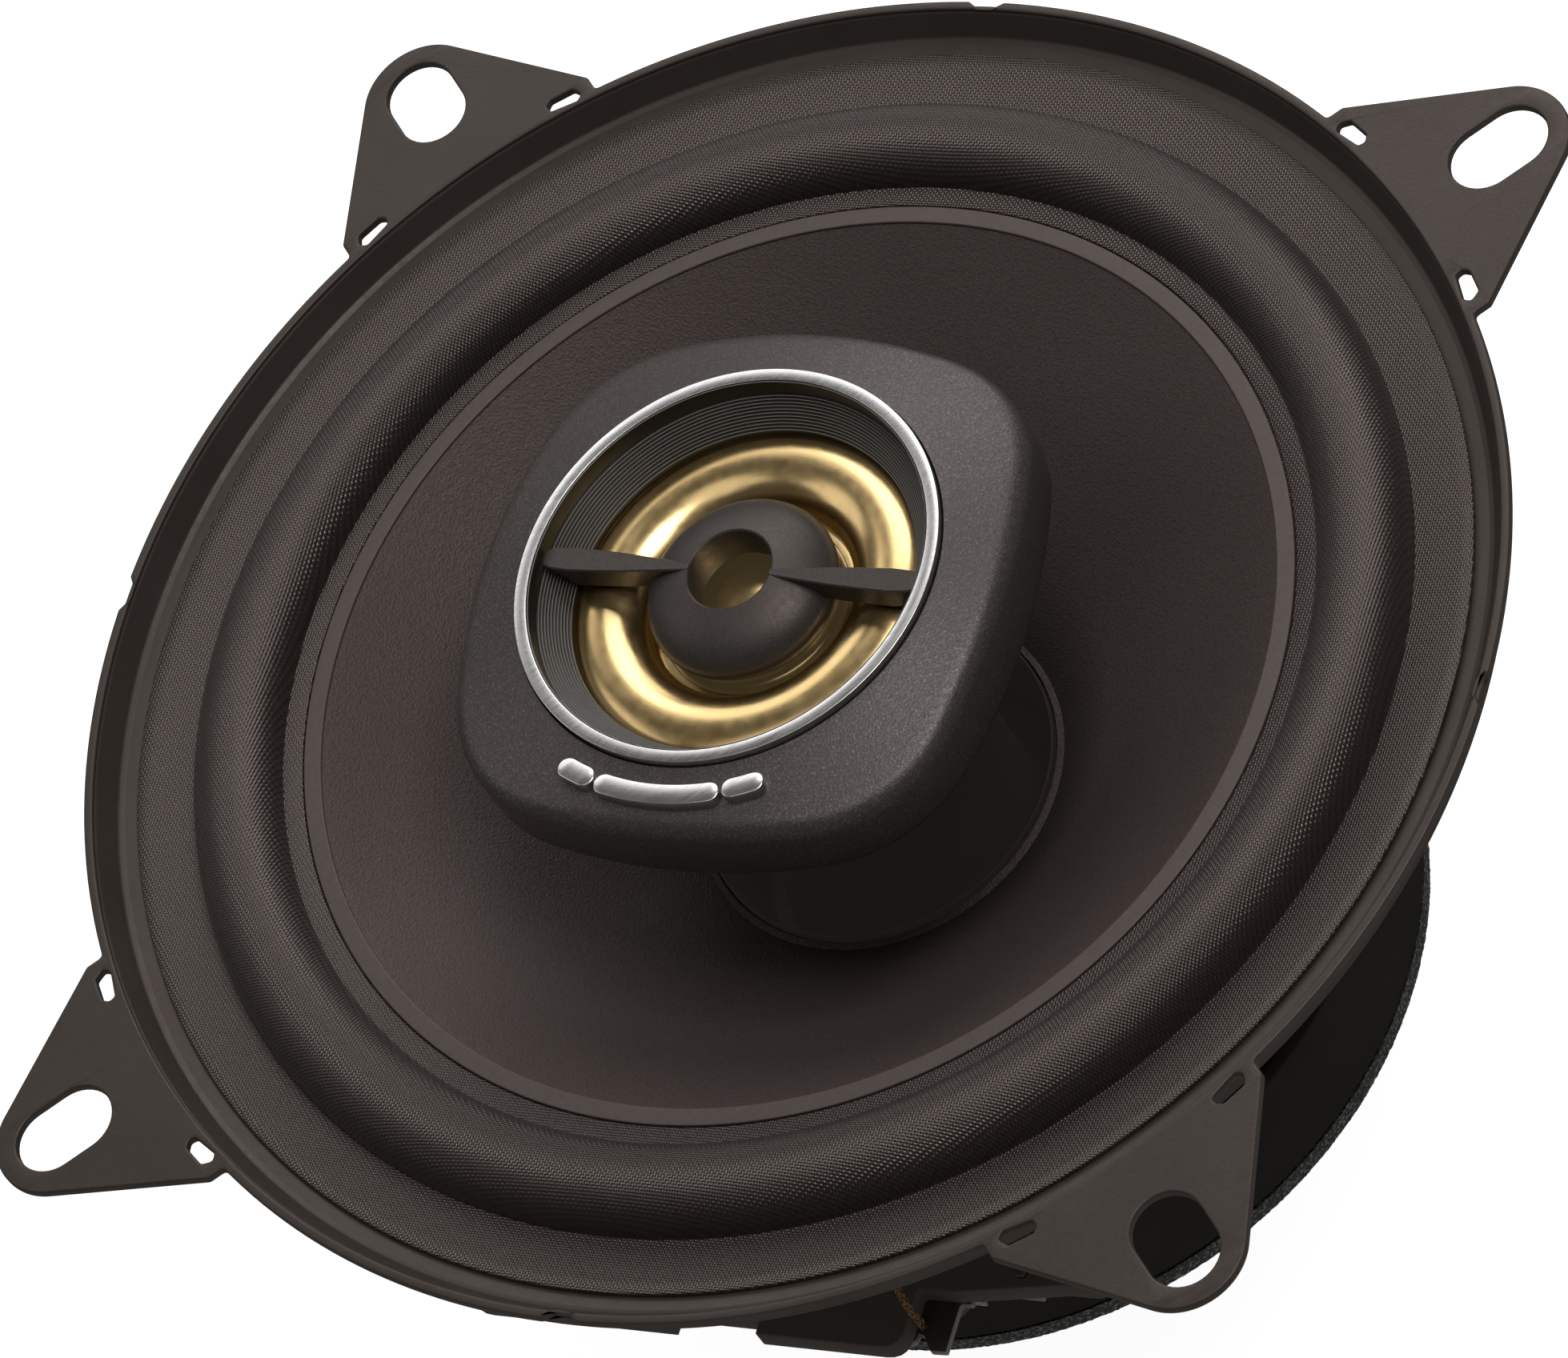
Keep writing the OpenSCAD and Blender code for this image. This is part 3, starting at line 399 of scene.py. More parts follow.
    for name, colour, dull in (("wire_red", (0.45, 0.02, 0.015), (0.36, 0.015, 0.012)),
                               ("wire_black", (0.018, 0.017, 0.017), (0.03, 0.028, 0.027))):
        s = Shade(name, colour, 0.38)
        s.mottle(600, 2, 0.35, 0.75, dull).vary_rough(s.noise(1800, 2), 0.07)
        s.bump(s.noise(3500, 2), 0.00002)

    s = Shade("tinsel", (0.93, 0.66, 0.38), 0.2, 1.0)
    fibre = s.noise(6000, 3)
    s.tint(s.span(fibre, 0.4, 0.7), (0.45, 0.24, 0.1)).vary_rough(s.noise(3000, 2), 0.06)
    s.bump(fibre, 0.00004)

    # The photograph's ground is pure white, so the floor gives light of its own, as a light table does.
    s = Shade("floor_paper", (0.3, 0.3, 0.3), 0.8, Emission_Color=(1, 1, 1, 1), Emission_Strength=0.95)
    s.mottle(30, 3, 0.3, 0.75, (0.28, 0.28, 0.28)).bump(s.noise(900, 3), 0.00002)


# ---------- mesh building, in millimetres ----------

def finish_mesh(name, mesh_data, slot, material=None, sharp=40, weighted=False):
    """Makes the object, turns its faces outwards and keeps edges sharper than the angle crisp.

    The material is the slot's own unless another one is named.
    """
    made = bmesh.new()
    made.from_mesh(mesh_data)
    bmesh.ops.remove_doubles(made, verts=made.verts, dist=1e-8)
    bmesh.ops.recalc_face_normals(made, faces=made.faces)
    for face in made.faces:
        face.smooth = True
    for edge in made.edges:
        edge.smooth = len(edge.link_faces) == 2 and edge.calc_face_angle(0) < math.radians(sharp)
    made.to_mesh(mesh_data)
    made.free()
    mesh_data.name = name
    piece = bpy.data.objects.new(name, mesh_data)
    bpy.context.scene.collection.objects.link(piece)
    mesh_data.materials.clear()
    mesh_data.materials.append(MATERIALS[material or slot])
    if weighted:
        modifier = piece.modifiers.new("normals", "WEIGHTED_NORMAL")
        modifier.keep_sharp = True
        apply_modifiers(piece)
    return piece


def apply_modifiers(piece):
    bpy.context.view_layer.update()
    graph = bpy.context.evaluated_depsgraph_get()
    mesh_data = bpy.data.meshes.new_from_object(
        piece.evaluated_get(graph), preserve_all_data_layers=True, depsgraph=graph)
    piece.modifiers.clear()
    old = piece.data
    piece.data = mesh_data
    bpy.data.meshes.remove(old)


def band_between(first, second, n):
    """The quads between two closed rings of n points, each given by its first point's number."""
    return [[first + k, first + (k + 1) % n, second + (k + 1) % n, second + k] for k in range(n)]


def mesh_of(points, faces):
    """A mesh from points in millimetres."""
    data = bpy.data.meshes.new("mesh")
    data.from_pydata([tuple(float(c) * MM for c in p) for p in points], [], faces)
    return data


def soft(points, radius=0.12, steps=3):
    """Rounds the corners of a closed outline. A point may carry its own radius as a third number."""
    made = []
    for i, point in enumerate(points):
        here = np.array(point[:2], float)
        rounding = point[2] if len(point) > 2 else radius
        a = np.array(points[i - 1][:2], float) - here
        b = np.array(points[(i + 1) % len(points)][:2], float) - here
        la, lb = np.linalg.norm(a), np.linalg.norm(b)
        a, b = a / la, b / lb
        corner = math.acos(max(-1, min(1, float(a @ b))))
        if rounding == 0 or corner > math.radians(168):
            made.append(here)
            continue
        cut = min(rounding / math.tan(corner / 2), 0.45 * la, 0.45 * lb)
        start, end = here + a * cut, here + b * cut
        for k in range(steps + 1):
            t = k / steps
            made.append((1 - t) ** 2 * start + 2 * t * (1 - t) * here + t * t * end)
    return made


def lathe_mesh(profile, segments=256, radial=None):
    """Turns a closed (r, z) outline about the axis. radial(angle, r, z) may shift a point's radius."""
    points, rings = [], []
    for r, z in profile:
        if abs(r) < 1e-6:
            rings.append([len(points)] * segments)
            points.append((0, 0, z))
            continue
        rings.append(list(range(len(points), len(points) + segments)))
        for k in range(segments):
            a = 2 * math.pi * k / segments
            out = r + (radial(a, r, z) if radial else 0)
            points.append((out * math.cos(a), out * math.sin(a), z))
    faces = []
    for ring, following in zip(rings, rings[1:] + rings[:1]):
        for k in range(segments):
            j = (k + 1) % segments
            corners = [ring[k], following[k], following[j], ring[j]]
            face = [c for n, c in enumerate(corners) if c not in corners[:n]]
            if len(face) > 2:
                faces.append(face)
    return mesh_of(points, faces)


def turned(point, angle):
    a = math.radians(angle)
    return (point[0] * math.cos(a) - point[1] * math.sin(a),
            point[0] * math.sin(a) + point[1] * math.cos(a), *point[2:])


def inset(loop, distance, inwards):
    """Moves a closed outline sideways by a distance, towards its inside or its outside."""
    p = np.array(loop, float)
    area = 0.5 * np.sum(p[:, 0] * np.roll(p[:, 1], -1) - np.roll(p[:, 0], -1) * p[:, 1])
    sign = (1 if area > 0 else -1) * (1 if inwards else -1)
    before, after = p - np.roll(p, 1, 0), np.roll(p, -1, 0) - p
    n1 = np.stack([-before[:, 1], before[:, 0]], 1) / np.linalg.norm(before, axis=1)[:, None]
    n2 = np.stack([-after[:, 1], after[:, 0]], 1) / np.linalg.norm(after, axis=1)[:, None]
    middle = n1 + n2
    middle /= np.maximum(np.sum(middle * n1, axis=1), 0.5)[:, None]
    return p + sign * distance * middle


def prism_mesh(outline, holes, z0, z1, edge=0.1, steps=2):
    """A plate with rounded edges, between two heights, with holes."""
    loops = [(outline, True)] + [(hole, False) for hole in holes]
    quarter = [math.pi / 2 * k / steps for k in range(steps + 1)]
    levels = ([(edge * (1 - math.sin(a)), z0 + edge * (1 - math.cos(a))) for a in quarter]
              + [(edge * (1 - math.cos(a)), z1 - edge * (1 - math.sin(a))) for a in quarter])
    points, faces, rims = [], [], []
    for loop, inwards in loops:
        n = len(loop)
        first = len(points)
        for distance, z in levels:
            points.extend((x, y, z) for x, y in inset(loop, distance, inwards))
        for level in range(len(levels) - 1):
            faces.extend(band_between(first + level * n, first + (level + 1) * n, n))
        rims.append((first, first + (len(levels) - 1) * n, n))
    for which in (0, 1):
        order, flat = [], []
        for rim in rims:
            ids = list(range(rim[which], rim[which] + rim[2]))
            order.extend(ids)
            flat.append([Vector((points[i][0], points[i][1], 0)) for i in ids])
        faces.extend([order[i] for i in triangle] for triangle in tessellate_polygon(flat))
    return mesh_of(points, faces)


def spline(points, steps):
    """A smooth curve through the points, as in the CAD source."""
    p = [np.array(q, float) for q in points]
    made = []
    for i in range(len(p) - 1):
        a, b, c, d = p[max(i - 1, 0)], p[i], p[i + 1], p[min(i + 2, len(p) - 1)]
        for k in range(steps):
            u = k / steps
            made.append(0.5 * (2 * b + (c - a) * u + (2 * a - 5 * b + 4 * c - d) * u * u
                               + (3 * b - 3 * c + d - a) * u ** 3))
    return made + [p[-1]]


def frames_along(path):
    """For each point of a path: its direction and two side vectors that don't twist."""
    last = len(path) - 1
    side, made = None, []
    for i in range(last + 1):
        t = path[min(i + 1, last)] - path[max(i - 1, 0)]
        t = t / np.linalg.norm(t)
        if side is None:
            side = np.array((0, 0, 1.0) if abs(t[2]) < 0.9 else (1.0, 0, 0))
        side = side - t * (side @ t)
        side = side / np.linalg.norm(side)
        made.append((t, side, np.cross(t, side)))
    return made


def tube_parts(path, radius, sides, offset=None):
    """Points and faces of a tube. offset(i) moves its centre along the two side vectors."""
    points, faces = [], []
    for i, (_, u, v) in enumerate(frames_along(path)):
        du, dv = offset(i) if offset else (0, 0)
        for k in range(sides):
            a = 2 * math.pi * k / sides
            points.append(path[i] + u * (du + radius * math.cos(a)) + v * (dv + radius * math.sin(a)))
    for i in range(len(path) - 1):
        faces.extend(band_between(i * sides, (i + 1) * sides, sides))
    faces.append(list(range(sides)))
    faces.append([(len(path) - 1) * sides + k for k in range(sides)])
    return points, faces


def joined_parts(parts):
    """One mesh from several lists of points and faces."""
    points, faces = [], []
    for p, f in parts:
        n = len(points)
        points.extend(p)
        faces.extend([[i + n for i in face] for face in f])
    return mesh_of(points, faces)


def combine(base, others, operation):
    """Adds to or cuts from a mesh exactly."""
    holder = bpy.data.objects.new("holder", base)
    bpy.context.scene.collection.objects.link(holder)
    helpers = []
    for other in others:
        helper = bpy.data.objects.new("helper", other)
        bpy.context.scene.collection.objects.link(helper)
        helpers.append(helper)
        modifier = holder.modifiers.new("combine", "BOOLEAN")
        modifier.operation = operation
        modifier.solver = "EXACT"
        modifier.object = helper
    apply_modifiers(holder)
    result = holder.data
    for item in [holder, *helpers]:
        bpy.data.objects.remove(item)
    for other in others:
        bpy.data.meshes.remove(other)
    return result


def arc(centre, radius, start, end, steps):
    """Points along an arc, from one heading in degrees to another."""
    headings = [math.radians(start + (end - start) * k / steps) for k in range(steps + 1)]
    return [(centre[0] + radius * math.cos(a), centre[1] + radius * math.sin(a)) for a in headings]


def circle(centre, radius, steps=48):
    return arc(centre, radius, 0, 360, steps)[:-1]


def block(x0, x1, y0, y1, z0, z1, turn):
    corners = [turned((x, y), turn) for x, y in ((x0, y0), (x1, y0), (x1, y1), (x0, y1))]
    return mesh_of([(*c, z) for z in (z0, z1) for c in corners],
                   [[3, 2, 1, 0], [4, 5, 6, 7], [0, 1, 5, 4], [1, 2, 6, 5], [2, 3, 7, 6], [3, 0, 4, 7]])


def coordinates(data):
    """All x, all y and all z of a mesh, in millimetres."""
    co = np.zeros(len(data.vertices) * 3)
    data.vertices.foreach_get("co", co)
    return co.reshape(-1, 3).T / MM


def remap(data, change):
    """Moves every point of a mesh; change(x, y, z) works on millimetres."""
    x, y, z = coordinates(data)
    data.vertices.foreach_set("co", (np.stack(change(x, y, z), 1) * MM).ravel())
    return data


def turn_mesh(data, angle):
    c, s = math.cos(math.radians(angle)), math.sin(math.radians(angle))
    return remap(data, lambda x, y, z: (x * c - y * s, x * s + y * c, z))


def add(piece, body, *nodes):
    """Puts a piece on a body, in the place of CAD nodes."""
    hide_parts(*nodes)
    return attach(piece, body)


def blend_by_radius(piece):
    """Bakes the piece's placement into its mesh and reads its points' x and y; nothing uses them."""
    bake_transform(piece)
    x, y, _ = coordinates(piece.data)


# ---------- basket and motor ----------

FLANGE_R = 51.1
SHEET = 0.7
EAR_END = 12.6                       # degrees from an ear's middle to where the round flange starts


def ear_loop():
    """One ear along +X, from where it leaves the flange to where it comes back."""
    tip, tip_r = (58.6, 0), 4.5
    shoulder, root = (51.3, 10.4), (50.03, 10.4)
    touch = (61.13, 3.72)
    swing = math.degrees(math.atan2(touch[1], touch[0] - tip[0]))
    return ([(root[0], -root[1], 0.4), (shoulder[0], -shoulder[1], 0.45), (touch[0], -touch[1], 0)]
            + arc(tip, tip_r, -swing, swing, 28)[1:-1]
            + [(touch[0], touch[1], 0), (*shoulder, 0.45), (*root, 0.4)])


def flange_loop():
    """The flange's outline: four ears, and an index notch halfway between each two."""
    notch, deep = math.degrees(1.35 / FLANGE_R), FLANGE_R - 0.55
    loop = []
    for angle in EAR_ANGLES:
        middle = angle + 45
        loop.extend(turned(p, angle) for p in ear_loop())
        loop.extend(arc((0, 0), FLANGE_R, angle + EAR_END, middle - notch, 24))
        for side in (-0.6, 0.6):
            loop.append((*arc((0, 0), deep, middle + side, middle + side, 1)[0], 0.3))
        loop.extend(arc((0, 0), FLANGE_R, middle + notch, angle + 90 - EAR_END, 24))
    return soft(loop, 0.3, 4)


def ear_holes():
    """The radial slot and the two slanted windows of each ear."""
    slot = arc((59.1, 0), 2.5, -90, 90, 20) + arc((56.9, 0), 2.5, 90, 270, 20)
    window = soft([(50.06, 8.91), (50.42, 9.4), (51.19, 9.05),
                   (51.48, 7.3), (51.12, 6.86), (50.63, 6.93)], 0.3)
    mirrored = [(x, -y) for x, y in window]
    return [[turned(p, angle) for p in hole]
            for angle in EAR_ANGLES for hole in (slot, window, mirrored)]


def basket():
    """The pressed basket: flange plate, turned wall with four windows, and the board's tongue."""
    plate = prism_mesh(flange_loop(), ear_holes() + [circle((0, 0), 50.42, 288)], 0, SHEET, 0.16, 4)
    wall = lathe_mesh(soft([
        (50.8, 0.2, 0), (50.8, 0.5, 0), (50.55, 0.55, 0), (50.3, 0.3, 0.1),
        (49.42, -1.3, 0.35), (49, -1.5, 0.1), (43.6, -2.3, 0.3), (42.8, -2.7, 0.4), (42.3, -3.6, 0.5),
        (39.6, -11.5, 1), (38.4, -13.4, 1), (33.2, -19.4, 0.8), (32.2, -20, 0.6), (28.4, -20, 0.4),
        (27.7, -20.6, 0.4), (26.9, -26.1, 0.5), (26.2, -26.8, 0.5), (17, -26.8), (17, -27.5),
        (26.8, -27.5, 0.5), (27.6, -26.9, 0.4), (28.4, -21.2, 0.5), (28.8, -20.7, 0.3),
        (32.5, -20.7, 0.5), (33.8, -20.1, 0.7), (39, -14, 1), (40.3, -11.8, 1), (43, -3.8, 0.4),
        (43.5, -3.15, 0.3), (44, -3, 0.3), (49.8, -2.2, 0.3), (50.3, -1.7, 0.2),
        (50.3, 0.12, 0)], 0.12), 288)
    tab = soft([(35, -5), (42, -5, 1), (42, 5, 1), (35, 5)], 0.2, 6)
    tongue = prism_mesh([turned(p, TERMINAL_TURN) for p in tab], [], -17.1, -16.3, 0.1)
    windows = []
    cut = soft([(28, -17.4), (60, -49.4), (60, 49.4), (28, 17.4)], 0.5)
    for angle in EAR_ANGLES:
        windows.append(prism_mesh([turned(p, angle) for p in cut], [], -18.6, -4.5, 1.4, 4))
    wall = combine(wall, windows, "DIFFERENCE")
    body = combine(plate, [wall, tongue], "UNION")
    piece = finish_mesh("basket_shell", body, "basket_steel", "basket_paint", sharp=38, weighted=True)
    add(piece, FRAME, "basket")


BOOT_R = 31.45
BOOT_BACK = -42.8


def grit(a, z):
    """A rough relief from 0 to 1 over the boot's rear band, the same on every run."""
    return math.sin(a * 9157.3 + z * 781.7 + 3 * math.sin(a * 53 + z)) * 4375.85 % 1


def channel(z1, x0):
    """The slot in the boot that the tweeter's wires run through."""
    return block(x0, 36, -2, 2, -45, z1, TERMINAL_TURN)


def boot():
    """The magnet's rubber boot, and the rough band round its rear edge."""
    groove = BOOT_BACK + 1.7
    body = lathe_mesh(soft([
        (31.15, groove + 0.15), (BOOT_R, groove + 0.3, 0.12), (BOOT_R, -31.5, 0.5), (30.85, -30.9, 0.3),
        (27.3, -30.9), (27.3, -31.5), (30.05, -31.5, 0), (30.05, -39.3, 0), (28.55, -39.3, 0),
        (28.55, groove - 0.4), (31.15, groove - 0.4, 0)], 0.12), 288)
    body = combine(body, [channel(-20, 30.2)], "DIFFERENCE")
    add(finish_mesh("boot_wall", body, "boot_rubber", sharp=38, weighted=True), FRAME, "magnet_boot")

    side = [(BOOT_R - 0.02, groove - 0.05 - 0.17 * k) for k in range(9)]
    rear = [(BOOT_R - 0.35 - 0.55 * k, BOOT_BACK) for k in range(20)]
    outline = ([(30.9, groove)] + side + [(BOOT_R - 0.1, BOOT_BACK + 0.12)] + rear
               + [(20, BOOT_BACK), (20, -42.3), (28.55, -42.3), (28.55, groove)])
    band = lathe_mesh(outline, 1100, radial=lambda a, r, z: -0.07 * grit(a, z) if r > 31.2 else 0)
    band = combine(band, [channel(-39, 15)], "DIFFERENCE")
    piece = finish_mesh("boot_band", band, "boot_rubber", "boot_band", sharp=50)
    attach(piece, FRAME)


# ---------- cone assembly ----------

ROLL_R, ROLL_H = 40.4, 3.3           # the half roll: where its middle runs, and its own radius


def surround():
    """The cloth surround: landing on the flange, half roll, and the lip on the cone's rim."""
    roll_z, inner, lip_inner = -1.9, -1.8, -1.46
    front = [(48, -1.33), (47.9, -1.24), (47, -1.36), (45.5, -1.6), (44.3, -1.82), (43.76, -1.86)]
    front += arc((ROLL_R, roll_z), ROLL_H, 3, 172, 48)
    front += [(37.08, lip_inner), (35.76, lip_inner), (35.7, lip_inner - 0.06),
              (35.68, inner), (35.1, inner), (35, inner - 0.1)]
    rear = [(35, inner - 0.4), (37.6, inner - 0.4)] + arc((ROLL_R, -2.3), ROLL_H - 0.4, 176, 4, 30)
    rear += [(43.6, -2.29), (48, -1.63)]
    piece = finish_mesh("surround_roll", lathe_mesh(front + rear, 384), "surround_cloth", sharp=50)
    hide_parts("surround")
    blend_by_radius(piece)


def spider():
    """The corrugated rear suspension."""
    z0, t, waves, parts = -19.98, 0.3, 5, 120
    wave = [(14.6 + 12.8 * k / parts, z0 + 0.85 * math.sin(2 * math.pi * waves * k / parts))
            for k in range(parts + 1)]
    front = [(12.77, z0 + t), (14.1, z0 + t)] + [(r, z + t) for r, z in wave] + [(32, z0 + t), (32, z0)]
    outline = front + wave[::-1] + [(14.1, z0), (12.77, z0)]
    piece = finish_mesh("spider_disc", lathe_mesh(outline, 256), "spider_cloth", sharp=55)
    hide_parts("spider")
    blend_by_radius(piece)


def cone_front(r):
    """Height of the cone's slightly curved face at radius r."""
    u = (34.35 - r) / 21
    return -1.6 - 16.6 * (0.93 * u + 0.07 * u * u)


def cone():
    """The woofer cone, and the smooth ring on its rim."""
    radii = [34.3 - 20.95 * k / 40 for k in range(41)]
    outline = ([(34.9, -1.55), (34.5, -1.52)] + [(r, cone_front(r)) for r in radii]
               + [(12.9, -18.0), (12.77, -18.2), (12.77, -19.55), (13.27, -19.55), (13.27, -19)]
               + [(r, cone_front(r) - 0.585) for r in radii[::-1]] + [(34.65, -1.8), (34.9, -1.8)])
    add(finish_mesh("cone_body", lathe_mesh(outline, 384), "cone_polymer", sharp=60), CONE, "cone")
    ring = soft([(35.6, -1.4), (34.35, -1.4), (34.28, -1.58), (34.9, -1.79), (35.6, -1.79)], 0.1)
    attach(finish_mesh("cone_rim", lathe_mesh(ring, 384), "cone_polymer", "cone_rim_lacquer",
                        sharp=60, weighted=True), CONE)


# ---------- tweeter ----------

BEZEL_R = 15.1


def house_loop(inset_by=0.0):
    """The housing's rounded square: bowed sides and corner arcs that touch them."""
    bow, middle = 45, 25.6
    c, corner, lean = 7.65, 10.88, 12.96
    loop = []
    for angle in EAR_ANGLES:
        side = arc((-middle, 0), bow - inset_by, -lean, lean, 32)[:-1]
        round_end = arc((c, c), corner - inset_by, lean, 90 - lean, 32)[:-1]
        loop.extend(turned(p, angle) for p in side + round_end)
    return loop


def crown(r):
    """Height of the housing's face at radius r."""
    return 9.95 - 0.345 * (r - 15.2) + 0.0008 * (r - 15.2) ** 2


def housing():
    """The tweeter's housing: rings of points from the round bore to the bowed square and back."""
    outer = house_loop()
    headings = [math.atan2(y, x) for x, y in outer]
    edge, mouth = 1.0, 15.34

    def ring(r, z):
        return [(r * math.cos(a), r * math.sin(a), z) for a in headings]

    def shrunk(by, z):
        return [(x, y, z) for x, y in house_loop(by)]

    rings = [ring(*place) for place in
             ((3, -0.5), (3, -2), (13.9, -2), (14.2, -1.7), (14.2, 2.7), (14.5, 3))]
    rings += [shrunk(0.6, 3), shrunk(0.25, 3.12), shrunk(0.07, 3.35), shrunk(0, 3.7)]
    for k in range(7):
        a = math.radians(90 * k / 6)
        loop = house_loop(edge * (1 - math.cos(a)))
        rings.append([(x, y, crown(math.hypot(x, y)) - edge * (1 - math.sin(a))) for x, y in loop])
    rim = rings[-1]
    for k in range(1, 9):
        s = k / 8
        row = []
        for (x, y, _), a in zip(rim, headings):
            px, py = x + (mouth * math.cos(a) - x) * s, y + (mouth * math.sin(a) - y) * s
            row.append((px, py, crown(math.hypot(px, py))))
        rings.append(row)
    rings += [ring(*place) for place in
              ((15.24, 9.93), (15.17, 9.85), (15.15, 9.7), (15.15, 6.45), (12.1, 6.45),
               (12.1, 4), (9.05, 4), (9.05, -0.5))]
    n = len(outer)
    points = [p for row in rings for p in row]
    faces = []
    for i in range(len(rings)):
        faces.extend(band_between(i * n, (i + 1) % len(rings) * n, n))
    data = turn_mesh(mesh_of(points, faces), TWEETER_TURN)
    add(finish_mesh("housing_shell", data, "housing_plastic", sharp=50), FRAME, "tweeter_housing")


def horn():
    """The black stepped wall inside the bezel, and the bezel ring."""
    seat, wide, top, foot, steps = 14.2, HORN_WIDE, 8.95, 7.1, 11
    rise, run = (top - foot) / steps, HORN_RUN
    outline = [(15.1, 6.7, 0), (15.1, 8.9, 0), (seat, 8.9, 0), (seat, 10.45, 0), (wide, 10.42, 0.03)]
    for k in range(steps):
        outline += [(wide - run * k, top - rise * k, 0.03), (wide - run * (k + 1), top - rise * k, 0.05)]
    outline += [(wide - run * steps, 6.7, 0)]
    wall = lathe_mesh(soft(outline, 0.03, 2), 320)
    add(finish_mesh("horn_steps", wall, "horn_plastic", sharp=60), FRAME, "tweeter_horn")
    ring = soft([(BEZEL_R, 9), (BEZEL_R, 10.5), (14.22, 10.5), (14.22, 9)], 0.05)
    add(finish_mesh("bezel_ring", lathe_mesh(ring, 320), "bezel_aluminium", sharp=60, weighted=True),
        FRAME, "tweeter_bezel")


def gold():
    """The tweeter's gold ring and dome, both pressed from one thin film."""
    t = 0.2
    outside = [(12.45 - 2.15 * (1 - math.cos(a)), 6.42 + 0.83 * math.sin(a))
               for a in (math.radians(90 * k / 20) for k in range(2, 21))]
    inside = [(10.3 - 3.15 * math.sin(a), 4.85 + 2.4 * math.cos(a))
              for a in (math.radians(88 * k / 24) for k in range(1, 25))]
    front = [(15, 6.68), (12.6, 6.66)] + outside + inside
    front += [(7.28, 4.86), (7.2, 4.78), (7.0, 4.8), (6.7, 4.8)]
    rear = [(6.7, 4.6)] + [(r - 0.02, max(z - t, 4.6)) for r, z in (outside + inside)[::-1]]
    rear += [(12.5, 6.3), (12.7, 6.5), (15, 6.5)]
    piece = finish_mesh("gold_ring", lathe_mesh(front + rear, 320), "gold_film", sharp=50)
    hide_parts("tweeter_surround")
    blend_by_radius(piece)

    sphere, edge, foot, parts = 11.4, 5.9, 4.75, 24    # the dome is a cap of a sphere
    dome = [(r, foot + math.sqrt(sphere ** 2 - r ** 2) - math.sqrt(sphere ** 2 - edge ** 2))
            for r in (edge * (1 - k / parts) for k in range(parts + 1))]
    outline = ([(6.65, 4.55), (6.65, 4.8), (6.3, 4.82), (6.1, 4.76)] + dome
               + [(r, z - t) for r, z in dome[::-1]])
    add(finish_mesh("gold_dome", lathe_mesh(outline, 192), "gold_film", "gold_dome_film",
                    sharp=50), DOME, "tweeter_dome")


PLUG_R, PLUG_Z = 6.75, 7.13          # the ball's widest circle
# Along an arm of the plug: x at the front and the rear, half width, rear z and front z.
ARM_STATIONS = (
    (3.02, 3.02, 0.28, 9.0, 9.77), (4.6, 4.6, 0.42, 8.8, 9.76), (6.2, 6.2, 0.57, 7.6, 9.75),
    (8, 8, 0.73, 7.6, 9.75), (10, 10, 0.84, 7.6, 9.75), (11.9, 11.7, 0.91, 7.6, 9.75),
    (13.2, 12.2, 0.82, 7.6, 9.75), (13.75, 12.5, 0.68, 7.65, 9.72), (13.95, 12.62, 0.45, 7.8, 9.66))


def plug_arc(depth, reach, parts, order):
    """Part of the ball's outline: an ellipse of that depth, reach degrees from its widest circle."""
    headings = [math.radians(reach * k / parts) for k in order]
    return [(PLUG_R * math.cos(a), PLUG_Z + depth * math.sin(a), 0) for a in headings]


def plug():
    """The ball with its hole, and the two arms that carry it."""
    face = plug_arc(2.95, 62.5, 28, range(28, -1, -1))
    back = plug_arc(-3.35, 29, 8, range(1, 9))
    ball = soft([(3, 9.66, 0)] + face + back
                + [(5.4, 5.6, 0.1), (4.6, 6.3, 0.3), (3.6, 6.75, 0.3), (3, 6.8, 0.06)], 0.08, 4)
    parts = []
    for way in (1, -1):
        points, faces = [], []
        for x_top, x_rear, w, z0, z1 in ARM_STATIONS:
            e = min(0.09, w * 0.4)
            rear_w = w * 0.92
            loop = ((x_top, w - e, z1), (x_top, w, z1 - e),
                    (x_rear, rear_w, z0 + e), (x_rear, rear_w - e, z0))
            points.extend((way * x, way * y, z) for x, y, z in loop)
            points.extend((way * x, -way * y, z) for x, y, z in loop[::-1])
        for i in range(len(ARM_STATIONS) - 1):
            faces.extend(band_between(8 * i, 8 * (i + 1), 8))
        faces.append(list(range(8)))
        faces.append([8 * (len(ARM_STATIONS) - 1) + k for k in range(7, -1, -1)])
        parts.append(mesh_of(points, faces))
    body = turn_mesh(combine(lathe_mesh(ball, 160), parts, "UNION"), TWEETER_TURN)
    piece = finish_mesh("plug_and_bridge", body, "plug_plastic", sharp=42, weighted=True)
    add(piece, FRAME, "phase_plug")


def badge():
    """A plain bar with a short dash at each side, where the photograph has raised lettering."""
    r, w = 17.2, 0.75
    for n, (heading, half) in enumerate(((-21, 2.5), (0, 13), (21, 2.5))):
        tip = (r * math.cos(math.radians(half)), r * math.sin(math.radians(half)))
        foot = (tip[0], -tip[1])
        loop = (arc((0, 0), r + w, -half, half, 24) + arc(tip, w, half, half + 180, 12)[1:-1]
                + arc((0, 0), r - w, half, -half, 24) + arc(foot, w, 180 - half, 360 - half, 12)[1:-1])
        data = prism_mesh(loop, [], 8.8, 9.95, 0.09, 3)
        turn_mesh(data, heading + TWEETER_TURN - 90)
        piece = finish_mesh(f"badge_dash_{n}", data, "bezel_aluminium", sharp=60)
        if n == 0:
            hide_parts("badge")
        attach(piece, FRAME)


